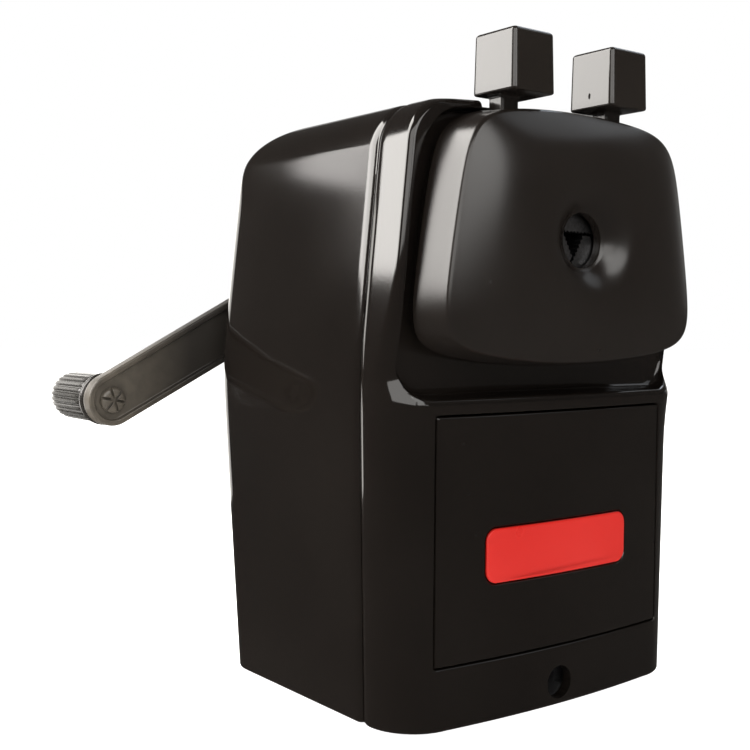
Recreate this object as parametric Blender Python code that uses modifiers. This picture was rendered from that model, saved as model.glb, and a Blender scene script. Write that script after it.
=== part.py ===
"""Crank pencil sharpener with an auto-feed chuck, a planetary helical cutter and a shavings drawer.

Metres, +Z up. +Y points to the rear (crank side), the pencil goes in along +Y. The origin is
the centre of the rubber pad's lower face, on the surface the sharpener stands on.
"""
import math

import bmesh
import bpy
from mathutils import Matrix, Vector

for old in list(bpy.data.objects):
    bpy.data.objects.remove(old, do_unlink=True)

MM = 0.001

# ---- driving dimensions, millimetres -------------------------------------------------------
H_TOP = 117.8          # roof of the housing
Z_WAIST = 67.6         # height of the widest section
W_BOT, W_MID, W_TOP = 38.5, 40.0, 34.6      # half widths of the housing
Y_BACK_BOT, Y_BACK_MID, Y_BACK_TOP = 29.7, 35.0, 33.6
Y_FRONT = -31.05       # drawer face at its corners
BOW = 1.6              # bulge of the drawer face
Z_LEDGE = 62.3         # ledge under the sliding head
Y_RIM = -28.5          # front edge of the frame beside the head
Y_FLOOR = -26.0        # floor of the recess behind the head
NOTCH = 18.4           # half width of the notch in the roof's front edge
Y_SEAM = -18.8         # split between front frame and rear shell
CROWN, CROWN_W = 1.0, 27.0  # rise of the roof's middle and its half width
R_FRONT = 1.8          # rounding of the roof's front edge
WALL = 2.2
GAP = 0.3              # clearance between touching pieces

Z_AXIS = 92.2          # pencil, chuck and crank axis
R_HOLE = 5.3           # pencil hole
Y_CREASE = -36.5       # front edge of the head's side flange
Y_HOLE = -37.3         # rim plane of the pencil hole
Y_DOME = -40.5         # foremost point of the head
Y_HEAD_BACK = -27.7

ROD_X, ROD_Z, ROD_R = 25.5, 84.0, 2.0
CUT_TIP_Y = 9.0        # pencil point
CUT_CONE = math.atan(4.0 / 21.0)
CUT_R = 5.5
N_RING, N_PINION = 36, 12
SHAFT_R = 4.0
ARM_L = 70.7
ARM_ANGLE = math.radians(180 + 27.5)
DRAWER_TRAVEL, HEAD_TRAVEL, TAB_SWING = 50.0, 28.0, 9.0

JAW_PIVOT = (4.2, -8.0)    # along the jaw's normal and along its edge
JAW_PEG = (8.0, -2.9)
JAW_SWING = 21.0

# ---- collections and materials --------------------------------------------------------------
scene = bpy.context.scene
parts = bpy.data.collections.new("crank_pencil_sharpener")
cutters = bpy.data.collections.new("cutters")
scene.collection.children.link(parts)
scene.collection.children.link(cutters)
cutters.hide_render = True


def material(name, colour, roughness, metallic=0.0):
    mat = bpy.data.materials.new(name)
    mat.use_nodes = True
    node = mat.node_tree.nodes["Principled BSDF"]
    node.inputs["Base Color"].default_value = (*colour, 1.0)
    node.inputs["Roughness"].default_value = roughness
    node.inputs["Metallic"].default_value = metallic
    mat.diffuse_color = (*colour, 1.0)
    return mat


# colour, roughness, metallic
BLACK_GLOSS = ((0.008, 0.008, 0.008), 0.12, 0.0)
BLACK_SATIN = ((0.012, 0.012, 0.012), 0.3, 0.0)
GREY_BLACK = ((0.03, 0.028, 0.026), 0.35, 0.0)
RUBBER = ((0.02, 0.02, 0.02), 0.85, 0.0)
RED = ((0.65, 0.03, 0.02), 0.3, 0.0)
STEEL = ((0.6, 0.6, 0.62), 0.3, 1.0)
DARK_STEEL = ((0.22, 0.22, 0.24), 0.32, 1.0)
ZINC = ((0.5, 0.5, 0.52), 0.45, 1.0)
BRASS = ((0.72, 0.55, 0.25), 0.35, 1.0)
NYLON = ((0.75, 0.74, 0.7), 0.5, 0.0)


# ---- mesh helpers ---------------------------------------------------------------------------
def finish(name, bm, look=None, smooth=True, origin=(0, 0, 0)):
    """Links a mesh object built in millimetres; one with no look is a cutter or a helper."""
    bmesh.ops.recalc_face_normals(bm, faces=bm.faces)
    bmesh.ops.scale(bm, vec=(MM, MM, MM), verts=bm.verts)
    o = Vector(origin) * MM
    bmesh.ops.translate(bm, vec=-o, verts=bm.verts)
    mesh = bpy.data.meshes.new(name)
    bm.to_mesh(mesh)
    bm.free()
    obj = bpy.data.objects.new(name, mesh)
    obj.location = o
    if look:
        parts.objects.link(obj)
        mesh.materials.append(material(name, *look))
        if smooth:
            mesh.shade_smooth()
            mesh.set_sharp_from_angle(angle=math.radians(35))
    else:
        cutters.objects.link(obj)
        obj.hide_render = True
        obj.display_type = "WIRE"
    return obj


def box_bm(x0, x1, y0, y1, z0, z1):
    bm = bmesh.new()
    bmesh.ops.create_cube(bm, size=1.0)
    bmesh.ops.scale(bm, vec=(x1 - x0, y1 - y0, z1 - z0), verts=bm.verts)
    bmesh.ops.translate(bm, vec=((x0 + x1) / 2, (y0 + y1) / 2, (z0 + z1) / 2), verts=bm.verts)
    return bm


TURN = {
    "X": Matrix.Rotation(math.radians(90), 4, "Y"),
    "Y": Matrix.Rotation(math.radians(-90), 4, "X"),
    "Z": Matrix.Identity(4),
}


def cyl_bm(axis, r, a, b, centre, seg=24, r2=None):
    """Cylinder (or cone) from a to b along an axis; centre gives the other two coordinates in order."""
    bm = bmesh.new()
    bmesh.ops.create_cone(bm, cap_ends=True, segments=seg, radius1=r, radius2=r if r2 is None else r2, depth=b - a)
    bmesh.ops.transform(bm, matrix=TURN[axis], verts=bm.verts)
    mid = (a + b) / 2
    at = {"X": (mid, centre[0], centre[1]), "Y": (centre[0], mid, centre[1]), "Z": (centre[0], centre[1], mid)}[axis]
    bmesh.ops.translate(bm, vec=at, verts=bm.verts)
    return bm


def prism_bm(outline, y0, y1, plane="XZ"):
    """A flat outline in XZ carried from y0 to y1 (or in XY carried from z0 to z1)."""
    bm = bmesh.new()
    rings = []
    for d in (y0, y1):
        ring = [bm.verts.new((p[0], d, p[1]) if plane == "XZ" else (p[0], p[1], d)) for p in outline]
        rings.append(ring)
    n = len(outline)
    bm.faces.new(rings[0])
    bm.faces.new(list(reversed(rings[1])))
    for i in range(n):
        bm.faces.new((rings[0][i], rings[0][(i + 1) % n], rings[1][(i + 1) % n], rings[1][i]))
    return bm


def loft_bm(rings, closed=False):
    """Skins a list of equally long point rings; open lofts get end caps."""
    bm = bmesh.new()
    grid = [[bm.verts.new(p) for p in ring] for ring in rings]
    n = len(rings[0])
    pairs = list(zip(grid, grid[1:])) + ([(grid[-1], grid[0])] if closed else [])
    for a, b in pairs:
        for i in range(n):
            bm.faces.new((a[i], a[(i + 1) % n], b[(i + 1) % n], b[i]))
    if not closed:
        bm.faces.new(grid[0])
        bm.faces.new(list(reversed(grid[-1])))
    return bm


count = 0


def helper(bm):
    global count
    count += 1
    return finish(f"tool_{count:03d}", bm)


def boolean(obj, other, operation):
    if not isinstance(other, bpy.types.Object):
        other = helper(other)
    mod = obj.modifiers.new(operation.lower(), "BOOLEAN")
    mod.operation = operation
    mod.solver = "EXACT"
    mod.object = other
    return other


def cut(obj, *others):
    for other in others:
        boolean(obj, other, "DIFFERENCE")
    return obj


def join(obj, *others):
    for other in others:
        boolean(obj, other, "UNION")
    return obj


def turned(name, profile, look, centre, steps=24, origin=None):
    """A turned piece about an axis along Y: profile is (radius, y) from the front end to the rear
    end of its outer side, and back along the bore if it has one."""
    mesh = bpy.data.meshes.new(name)
    # The profile lies at +X with its height along Z, and runs top to bottom on its outer side.
    pts = [(r * MM, 0.0, -y * MM) for r, y in profile]
    closed = profile[0][0] > 0
    edges = [(i, i + 1) for i in range(len(pts) - 1)] + ([(len(pts) - 1, 0)] if closed else [])
    mesh.from_pydata(pts, edges, [])
    obj = bpy.data.objects.new(name, mesh)
    screw = obj.modifiers.new("turn", "SCREW")
    screw.axis = "Z"
    screw.steps = screw.render_steps = steps
    screw.use_merge_vertices = True
    screw.merge_threshold = 0.00001
    screw.use_smooth_shade = False
    obj.rotation_euler = (math.radians(90), 0, 0)
    obj.location = (centre[0] * MM, 0, centre[1] * MM)
    if look:
        parts.objects.link(obj)
        mesh.materials.append(material(name, *look))
    else:
        cutters.objects.link(obj)
        obj.hide_render = True
        obj.display_type = "WIRE"
    return obj


def interp(x, xs, ys):
    if x <= xs[0]:
        return ys[0]
    for a, b, p, q in zip(xs, xs[1:], ys, ys[1:]):
        if x <= b:
            return p + (q - p) * (x - a) / (b - a)
    return ys[-1]


def rounding(z, top, radius):
    """How far a face with a rounded top edge has drawn in at height z."""
    d = z - (top - radius)
    return 0.0 if d <= 0 else radius - math.sqrt(max(radius * radius - d * d, 0.0))


# ---- housing outline ------------------------------------------------------------------------
def housing_ring(z, t=0.0, top=H_TOP):
    """Plan outline of the housing at height z, drawn in by a wall t."""
    side_in = rounding(z, top, 8.5 - t)
    w = interp(z, (0, Z_WAIST, H_TOP), (W_BOT, W_MID, W_TOP)) - t - side_in
    back = interp(z, (0, Z_WAIST, H_TOP), (Y_BACK_BOT, Y_BACK_MID, Y_BACK_TOP)) - t - rounding(z, top, 13.0 - t)
    front = interp(z, (0, 62, 66, H_TOP), (Y_FRONT, Y_FRONT, Y_RIM, Y_RIM)) + t
    bow = interp(z, (0, 62, 66), (BOW, BOW, 0.0))
    rc = max(interp(z, (0, 55, 66, 85, 110, 116), (10, 10, 7.5, 3.5, 2.0, 2.0)) - t, 0.8) + side_in * 0.35
    rr = max(5.0 - t, 1.2) + side_in * 0.6
    if z > H_TOP:
        # the crown of the roof, which the front face cuts off sharply
        w = CROWN_W * math.sqrt(max(1 - (z - H_TOP) / CROWN, 0.0))
        rc = rr = min(rc, 0.6 * w)
        back -= 0.9 * (CROWN_W - w)
    if z < 1.2 and t == 0:
        edge = 0.8 * (1.2 - z) / 0.8
        w, back, front = w - edge, back - edge, front + edge

    def edge_in(x):
        if t > 0:
            return rounding(z, top, 5.0 - min(t, 3))
        return rounding(z, H_TOP + CROWN * max(1 - (x / CROWN_W) ** 2, 0.0), R_FRONT)

    pts = []
    half = w - rc
    for i in range(7):                  # from the left side round to the front
        a = math.radians(15 * i)
        x = -half - rc * math.cos(a)
        pts.append((x, front + rc - (rc - edge_in(x)) * math.sin(a)))
    for i in range(1, 8):
        x = -half + 2 * half * i / 8
        pts.append((x, front + edge_in(x) - bow * (1 - (x / half) ** 2)))
    for i in range(7):
        a = math.radians(90 - 15 * i)
        x = half + rc * math.cos(a)
        pts.append((x, front + rc - (rc - edge_in(x)) * math.sin(a)))
    for i in range(5):
        a = math.radians(22.5 * i)
        pts.append((w - rr + rr * math.cos(a), back - rr + rr * math.sin(a)))
    for i in range(5):
        a = math.radians(90 - 22.5 * i)
        pts.append((-(w - rr) - rr * math.cos(a), back - rr + rr * math.sin(a)))
    return [(x, y, z) for x, y in pts]


OUTER_Z = (0.4, 1.2, 30, 55, 62, 64, 66, 76, 86, 96, 104.8, 107.5, 110, 112.2, 114, 115.4, 116.2, 116.8, 117.2, 117.5, 117.8, 118.05, 118.3, 118.5, 118.65)
INNER_Z = (-3, 0.5, 30, 55, 66, 86, 104.8, 108.5, 111.6, 113.7, 115.0, 115.6)


def housing_solid():
    return loft_bm([housing_ring(z) for z in OUTER_Z])


def housing_cavity():
    return loft_bm([housing_ring(z, WALL, H_TOP - WALL) for z in INNER_Z])


FAR = 90
FRONT_BOSS = [(-32.6, -22.6), (32.6, -22.6)]
REAR_BOSS = [(-32.9, 21.0), (32.9, 21.0)]
SCREW_AT = [(-16.5, 107.7), (16.5, 107.7), (-16.5, 76.7), (16.5, 76.7)]

# rear shell
rear_shell = finish("rear_shell", housing_solid(), BLACK_GLOSS)
cut(rear_shell, housing_cavity(), box_bm(-FAR, FAR, -FAR, Y_SEAM + 0.15, -FAR, 2 * FAR))
join(
    rear_shell,
    *(cyl_bm("Z", 4.1, 3.8, 11.5, at, 16) for at in REAR_BOSS),
    cyl_bm("Y", 7.5, 29.2, 33.0, (0, Z_AXIS), 24),
)
cut(
    rear_shell,
    cyl_bm("Y", 4.6, 20, 50, (0, Z_AXIS), 24),
    *(cyl_bm("Z", 1.6, 2, 9.5, at, 12) for at in REAR_BOSS),
)

# front frame: same outline ahead of the seam, with the head's recess and the drawer opening
front_frame = finish("front_frame", housing_solid(), BLACK_GLOSS)
cut(front_frame, box_bm(-FAR, FAR, Y_SEAM - 0.15, FAR, -FAR, 2 * FAR))


def recess_ring(y, out=0.0):
    """Outline in XZ of the recess for the sliding head, with rounded corners."""
    low, r = Z_LEDGE - out, 6.0
    pts = []
    for x, z, nx, nz in ((21.0, 116.3, 0, 1), (25.0, 115.9, 0.3, 0.95), (28.0, 114.6, 0.65, 0.75), (30.0, 112.6, 0.8, 0.6), (31.6, 110.0, 0.9, 0.4), (32.8, 107.0, 1, 0.2)):
        pts.append((-(x + nx * out), z + nz * out))
    for z in (103.5, 96.0, 86.0, 76.0, low + r):
        pts.append((-(interp(z, (0, Z_WAIST, H_TOP), (W_BOT, W_MID, W_TOP)) - 2.0 + out), z))
    w = -pts[-1][0]
    for i in range(1, 5):
        a = math.radians(90 * i / 4)
        pts.append((-(w - r) - r * math.cos(a), low + r - r * math.sin(a)))
    full = pts + [(-x, z) for x, z in reversed(pts)]
    return [(x, y, z) for x, z in full]


def lower_cavity():
    """Room behind the drawer face, under the head's recess."""
    return loft_bm([housing_ring(z, WALL, H_TOP) for z in (-3, 0.5, 30, 55, 59.6)])


upper_room = loft_bm([
    [(x, y if y > -24.0 else -24.0, z) for x, y, z in housing_ring(z_, WALL, H_TOP - WALL)]
    for z_ in (66.5, 76, 86, 96, 104.8, 108.5, 111.6, 113.7, 115.0, 115.6)
])
cut(
    front_frame,
    loft_bm([recess_ring(-70.0, 0.6), recess_ring(Y_RIM - 0.6, 0.6), recess_ring(Y_RIM + 0.4), recess_ring(Y_FLOOR)]),
    box_bm(-NOTCH, NOTCH, -70.0, Y_FLOOR, 112.0, 125.0),        # the tabs' necks stand in this notch
    box_bm(-NOTCH, NOTCH, -27.0, -21.0, 117.0, 125.0),
    lower_cavity(),
    box_bm(-37.3, 37.3, -24.0, -15.0, 50.0, 67.0),
    upper_room,
    box_bm(-31.3, 31.3, -60, -20, 12.3, 59.3),
    cyl_bm("Y", 3.3, -60, -25, (0, 5.0), 24),
    cyl_bm("Y", 7.5, -40, -20, (0, Z_AXIS), 28),
    *(cyl_bm("Y", 4.3, -40, -20, (s * ROD_X, ROD_Z), 20) for s in (-1, 1)),
)
join(front_frame, *(cyl_bm("Z", 4.2, 3.8, 11.0, at, 16) for at in FRONT_BOSS))
cut(
    front_frame,
    *(cyl_bm("Z", 1.6, 2, 9.5, at, 12) for at in FRONT_BOSS),
    *(cyl_bm("Y", 1.5, -25.2, -20, p, 12) for p in SCREW_AT),
)

# base plate with drawer runners and the socket for a table clamp's rod
base_plate = finish("base_plate", prism_bm([(x, y) for x, y, z in housing_ring(2.0, WALL + 0.4)], 1.3, 3.5, "XY"), BLACK_SATIN)
join(
    base_plate,
    *(box_bm(s * 20 - 1.2, s * 20 + 1.2, -14, 24, 3.0, 12.3) for s in (-1, 1)),
    box_bm(-5.6, 5.6, -28.0, 4.0, 3.0, 9.6),
)
cut(base_plate, cyl_bm("Y", 3.3, -40, 1.0, (0, 5.0), 20))
for at in FRONT_BOSS + REAR_BOSS:
    cut(base_plate, cyl_bm("Z", 1.6, -2, 8, at, 12), cyl_bm("Z", 2.7, -2, 2.6, at, 16))

anti_slip_pad = finish("anti_slip_pad", prism_bm([(x, y) for x, y, z in housing_ring(2.0, 5.5)], 0.0, 1.0, "XY"), RUBBER)

for tag, at in zip(("front_left", "front_right", "rear_left", "rear_right"), FRONT_BOSS + REAR_BOSS):
    screw = finish("base_screw_" + tag, cyl_bm("Z", 2.4, 1.4, 2.3, at, 16), STEEL, origin=(*at, 2.0))
    join(screw, cyl_bm("Z", 1.25, 2.2, 9.0, at, 10))
    cut(screw, box_bm(at[0] - 1.8, at[0] + 1.8, at[1] - 0.3, at[1] + 0.3, 1.0, 1.8))

# ---- inner frame, ring gear, bearings -------------------------------------------------------
AX = (0.0, Z_AXIS)
gear_frame = finish("gear_frame", cyl_bm("Y", 20.5, -22.4, -19.4, AX, 32), ZINC)
join(
    gear_frame,
    *(cyl_bm("Y", 3.3, -22.4, -19.4, at, 14) for at in SCREW_AT),
    box_bm(-22.6, 22.6, -22.4, -19.4, 91.2, 104.2),
    *(box_bm(min(s * 19.9, s * 22.6), max(s * 19.9, s * 22.6), -20.5, 21.5, 91.2, 104.2) for s in (-1, 1)),
    box_bm(-22.6, 22.6, 20.0, 23.0, 91.2, 104.2),
    cyl_bm("Y", 12.0, 20.0, 23.0, AX, 28),
)
cut(
    gear_frame,
    cyl_bm("Y", 11.3, -30, 0, AX, 28),
    cyl_bm("Y", 6.3, 10, 30, AX, 24),
    *(cyl_bm("Y", 1.5, -30, -10, at, 10) for at in SCREW_AT),
)
front_bearing = turned("front_bearing", [(9.0, -22.7), (11.0, -22.7), (11.0, -19.1), (9.0, -19.1)], NYLON, AX, 28)
rear_bearing = turned("rear_bearing", [(4.3, 19.7), (6.0, 19.7), (6.0, 23.3), (7.6, 23.3), (7.6, 24.5), (4.3, 24.5)], BRASS, AX, 20)
for tag, at in zip(("upper_left", "upper_right", "lower_left", "lower_right"), SCREW_AT):
    screw = turned("frame_screw_" + tag, [(0, -25.0), (1.2, -25.0), (1.2, -19.1), (2.5, -19.1), (2.5, -17.9), (2.0, -17.6), (0, -17.6)], STEEL, at, 12)
    cut(screw, box_bm(at[0] - 1.8, at[0] + 1.8, -18.1, -17.0, at[1] - 0.3, at[1] + 0.3))

# Cutter axis: parallel to the pencil cone's upper edge, one cutter radius above it. The crank and
# cutter axes meet at the apex, and the teeth of both gears taper towards it.
SLOPE = math.tan(CUT_CONE)
LIFT = CUT_R / math.cos(CUT_CONE)
APEX_Y = CUT_TIP_Y + (LIFT + 0.1) / SLOPE


def cutter_z(y):
    return Z_AXIS + (APEX_Y - y) * SLOPE


PINION_CONE = math.atan(math.sin(CUT_CONE) / (N_RING / N_PINION - math.cos(CUT_CONE)))
RING_CONE = PINION_CONE + CUT_CONE


def toothed(n, pitch, inward, first, add, ded, half):
    """Outline of a gear in polar form: half holds the half widths of a tooth at its tip, pitch and
    root, in degrees."""
    pts = []
    step = 360.0 / n
    for k in range(n):
        c = first + k * step
        tip = pitch + (-add if inward else add)
        root = pitch + (ded if inward else -ded)
        for a, r in ((-half[2], root), (-half[0], tip), (half[0], tip), (half[2], root)):
            pts.append((math.radians(c + a), r))
    return pts


def ring_gear_rings():
    rings = []
    for y, outer in ((-19.1, True), (-19.1, False), (-11.5, False), (-11.5, True)):
        pitch = (APEX_Y - y) * math.tan(RING_CONE)
        m = 2 * pitch / N_RING
        pts = toothed(N_RING, pitch, True, 90 + 180.0 / N_RING, 0.62 * m, 1.1 * m, (0.9, 2.0, 2.9))
        if outer:
            pts = [(a, 19.4) for a, r in pts]
        rings.append([(r * math.cos(a), y, Z_AXIS + r * math.sin(a)) for a, r in pts])
    return rings


ring_gear = finish("ring_gear", loft_bm(ring_gear_rings(), closed=True), DARK_STEEL)

# ---- guide bushes ---------------------------------------------------------------------------
for s, side in ((-1, "left"), (1, "right")):
    at = (s * ROD_X, ROD_Z)
    turned("guide_bush_" + side, [(2.3, -26.3), (4.0, -26.3), (4.0, -23.7), (5.0, -23.7), (5.0, -22.3), (4.0, -22.3), (4.0, -18.3), (2.3, -18.3)], NYLON, at, 20)


def coil(name, look, start, end, turns, r_coil, r_wire, axis, per_turn=7):
    """A compression spring between two points on an axis, with closed end turns."""
    curve = bpy.data.curves.new(name, "CURVE")
    curve.dimensions = "3D"
    curve.bevel_depth = r_wire * MM
    curve.bevel_resolution = 2
    curve.use_fill_caps = True
    spline = curve.splines.new("POLY")
    n = int(turns * per_turn) + 1
    spline.points.add(n - 1)
    total = end[0] - start[0] if axis == "X" else end[1] - start[1]
    for i in range(n):
        f = i / (n - 1)
        a = 2 * math.pi * turns * f
        # the first and last turns lie nearly flat
        flat = 1.0 / turns
        rise = 2.3 * r_wire / abs(total)
        if f < flat:
            h = rise * f / flat
        elif f > 1 - flat:
            h = 1 - rise * (1 - f) / flat
        else:
            h = rise + (1 - 2 * rise) * (f - flat) / (1 - 2 * flat)
        if axis == "Y":
            p = (start[0] + r_coil * math.cos(a), start[1] + total * h, start[2] + r_coil * math.sin(a))
        else:
            p = (start[0] + total * h, start[1] + r_coil * math.cos(a), start[2] + r_coil * math.sin(a))
        o = start
        spline.points[i].co = ((p[0] - o[0]) * MM, (p[1] - o[1]) * MM, (p[2] - o[2]) * MM, 1.0)
    obj = bpy.data.objects.new(name, curve)
    obj.location = Vector(start) * MM
    curve.materials.append(material(name, *look))
    parts.objects.link(obj)
    return obj


for s, side in ((-1, "left"), (1, "right")):
    coil("feed_spring_" + side, STEEL, (s * ROD_X, -17.4, ROD_Z), (s * ROD_X, 19.7, ROD_Z), 9, 2.95, 0.38, "Y")

# ---- drawer ---------------------------------------------------------------------------------
drawer_tray = finish("drawer_tray", box_bm(-30.2, 30.2, -28.9, 24.0, 12.65, 52.0), GREY_BLACK, origin=(0, -28.9, 12.65))
cut(drawer_tray, box_bm(-28.6, 28.6, -27.3, 22.4, 14.3, 70.0))
drawer_front = finish("drawer_front", box_bm(-31.0, 31.0, -60.0, -29.2, 12.6, 59.0), BLACK_GLOSS)
boolean(drawer_front, housing_solid(), "INTERSECT")


def bow_plate(half_x, half_z, radius, zc, ahead, behind):
    """A plate that follows the drawer face's bow, with rounded corners."""
    rings = []
    xs = [-half_x + radius * (1 - math.cos(math.radians(a))) for a in (0, 30, 60, 90)]
    xs += [-half_x + radius + (half_x - radius) * 2 * i / 6 for i in range(1, 6)]
    xs += [half_x - radius * (1 - math.cos(math.radians(a))) for a in (90, 60, 30, 0)]
    for x in xs:
        d = max(abs(x) - (half_x - radius), 0.0)
        h = half_z - radius + math.sqrt(max(radius * radius - d * d, 0.0))
        y = Y_FRONT - BOW * (1 - (x / 29.1) ** 2)
        rings.append([(x, y - ahead, zc - h), (x, y - ahead, zc + h), (x, y + behind, zc + h), (x, y + behind, zc - h)])
    return loft_bm(rings)


BADGE = (19.4, 5.2, 2.4, 32.2)
cut(drawer_front, bow_plate(BADGE[0] + GAP, BADGE[1] + GAP, BADGE[2] + GAP, BADGE[3], 5.0, 0.62))
drawer_badge = finish("drawer_badge", bow_plate(*BADGE, 0.25, 0.3), RED)

# ---- sliding head ---------------------------------------------------------------------------
def head_radius(psi, grow=0.0):
    """Distance from the pencil axis to the head's front outline in direction psi."""
    c, s = math.cos(psi), math.sin(psi)
    side = 1e3
    if abs(c) > 0.25:
        side = 30.0
        for _ in range(12):
            dz = side * s - 1.2
            side = (31.70 - 0.172 * dz - 0.0014 * dz * dz + grow) / abs(c)
    # top and bottom edges: |z| = reach - bend x^2, solved along the ray
    reach, bend = (116.5 - Z_AXIS + grow, 0.0028) if s > 0 else (Z_AXIS - 68.5 + grow, 0.0030)
    k = bend * c * c
    cap = reach / abs(s) if k < 1e-9 else (-abs(s) + math.sqrt(s * s + 4 * reach * k)) / (2 * k)
    p = 9.0
    return (side ** -p + cap ** -p) ** (-1 / p)


HEAD_N = 48


def head_ring(y, grow=0.0, blend=1.0, radius=0.0):
    """Ring of the head: blend 1 is its outline (plus grow), blend 0 a circle of the given radius."""
    pts = []
    for i in range(HEAD_N):
        psi = 2 * math.pi * i / HEAD_N
        r = radius + (head_radius(psi, grow) - radius) * blend
        pts.append((r * math.cos(psi), y, Z_AXIS + r * math.sin(psi)))
    return pts


def dome_y(blend):
    """Front surface between the dimple's brim (blend 0) and the crease (blend 1)."""
    return Y_CREASE + (Y_DOME - Y_CREASE) * (1 - blend ** 2.2)


def faceplate_rings():
    # inner bore, then over the dimple, the dome and the flange, and back inside
    rings = [head_ring(-35.3, 0, 0, R_HOLE), head_ring(Y_HOLE + 0.2, 0, 0, R_HOLE), head_ring(Y_HOLE, 0, 0, R_HOLE + 0.25)]
    for r, y in ((6.3, -37.9), (7.6, -38.8), (9.2, -39.6), (11.0, -40.15)):
        rings.append(head_ring(y, 0, 0, r))
    for b in (0.0, 0.2, 0.4, 0.6, 0.78, 0.92):
        rings.append(head_ring(dome_y(b), 0, b, 13.0))
    rings.append(head_ring(Y_CREASE, 0, 1))
    rings.append(head_ring(Y_CREASE + 0.5, 0.12, 1))
    rings.append(head_ring(Y_HEAD_BACK, 0.8, 1))
    rings.append(head_ring(Y_HEAD_BACK, -1.2, 1))
    rings.append(head_ring(-34.2, -2.0, 1))
    for b in (0.75, 0.45, 0.15):
        rings.append(head_ring(dome_y(b) + 2.0, -2.0, b, 13.0))
    rings.append(head_ring(-38.0, 0, 0, 11.5))
    rings.append(head_ring(-36.4, 0, 0, 8.8))
    rings.append(head_ring(-35.3, 0, 0, 7.6))
    return rings


faceplate = finish("faceplate", loft_bm(faceplate_rings(), closed=True), BLACK_SATIN, origin=(0, Y_HEAD_BACK, Z_AXIS))
HEAD_SCREWS = [(-21.0, 76.0), (21.0, 76.0)]
join(faceplate, *(cyl_bm("Y", 3.3, -37.0, -29.2, at, 14) for at in HEAD_SCREWS))
cut(
    faceplate,
    *(cyl_bm("Y", 1.4, -34.0, -28.0, at, 10) for at in HEAD_SCREWS),
    box_bm(-17.1, -7.7, -32.4, -20.0, 104.0, 125.0),
    box_bm(7.7, 17.1, -32.4, -20.0, 104.0, 125.0),
)

backplate_outline = []
for i in range(HEAD_N):
    psi = 2 * math.pi * i / HEAD_N
    r = head_radius(psi, 0.0) - 2.2
    x, z = r * math.cos(psi), r * math.sin(psi)
    if z > 18.8:
        x, z = x * 18.8 / z if abs(x) < 8 else x, 18.8
    backplate_outline.append((x, Z_AXIS + z))
tidy = []
for pt in backplate_outline:
    if not tidy or math.dist(pt, tidy[-1]) > 0.3:
        tidy.append(pt)
tidy = [p for i, p in enumerate(tidy) if not (p[1] > Z_AXIS + 18.79 and tidy[i - 1][1] > Z_AXIS + 18.79 and tidy[(i + 1) % len(tidy)][1] > Z_AXIS + 18.79)]
chuck_backplate = finish("chuck_backplate", prism_bm(tidy, -28.9, -27.4), ZINC)
join(chuck_backplate, cyl_bm("Y", 6.5, -32.8, -28.5, AX, 24))
cut(
    chuck_backplate,
    cyl_bm("Y", 5.5, -50, -20, AX, 24),
    *(cyl_bm("Y", 2.3, -50, -20, (s * ROD_X, ROD_Z), 14) for s in (-1, 1)),
    *(cyl_bm("Y", 1.5, -50, -20, at, 10) for at in HEAD_SCREWS),
    *(cyl_bm("Y", 2.9, -28.2, -20, at, 14) for at in HEAD_SCREWS),
)
for s, side in ((-1, "left"), (1, "right")):
    at = (s * ROD_X, ROD_Z)
    turned("guide_rod_" + side, [(0, -30.6), (3.2, -30.6), (3.2, -29.2), (ROD_R, -29.2), (ROD_R, 20.2), (1.5, 20.2), (1.5, 21.2), (ROD_R, 21.2), (ROD_R, 21.7), (1.6, 22.1), (0, 22.1)], STEEL, at, 16)
    turned("rod_clip_" + side, [(1.8, 20.45), (3.9, 20.45), (3.9, 20.95), (1.8, 20.95)], DARK_STEEL, at, 16)
    screw = turned("chuck_screw_" + side, [(0, -33.5), (1.1, -33.5), (1.1, -27.9), (2.5, -27.9), (2.5, -27.1), (0, -27.1)], STEEL, HEAD_SCREWS[0 if s < 0 else 1], 12)

# ---- squeeze levers, their tabs, and the jaws -----------------------------------------------
def polar(r, deg):
    return (r * math.cos(math.radians(deg)), r * math.sin(math.radians(deg)))


def jaw_point(k, n, t):
    """From a jaw's own (normal, edge) coordinates to XZ about the pencil axis."""
    b = math.radians(90 + 120 * k)
    return (n * math.cos(b) - t * math.sin(b), n * math.sin(b) + t * math.cos(b))


def turn_cw(p, deg, about=(0.0, 0.0)):
    a = math.radians(-deg)
    x, z = p[0] - about[0], p[1] - about[1]
    return (about[0] + x * math.cos(a) - z * math.sin(a), about[1] + x * math.sin(a) + z * math.cos(a))


def slot_outline(path, r):
    """Outline of a slot of half width r along a path, with round ends."""
    left, right = [], []
    for i, p in enumerate(path):
        a, b = path[max(i - 1, 0)], path[min(i + 1, len(path) - 1)]
        d = math.hypot(b[0] - a[0], b[1] - a[1])
        ux, uz = (b[0] - a[0]) / d, (b[1] - a[1]) / d
        left.append((p[0] - uz * r, p[1] + ux * r))
        right.append((p[0] + uz * r, p[1] - ux * r))

    def end(p, q, n=5):
        a = math.atan2(p[1] - q[1], p[0] - q[0])
        return [(p[0] + r * math.cos(a - math.pi / 2 + math.pi * i / n), p[1] + r * math.sin(a - math.pi / 2 + math.pi * i / n)) for i in range(1, n)]

    return left + list(reversed(end(path[-1], path[-2]))) + list(reversed(right)) + list(reversed(end(path[0], path[1])))


def up(pts):
    return [(x, Z_AXIS + z) for x, z in pts]


RING_R, RING_BORE = 13.2, 6.9
TAB = dict(x0=7.8, x1=18.7, y0=-37.3, y1=-25.9, z0=119.0, z1=130.5)
HINGE = (0, -30, Z_AXIS)


TANG_Y = (-30.9, -29.3)


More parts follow.
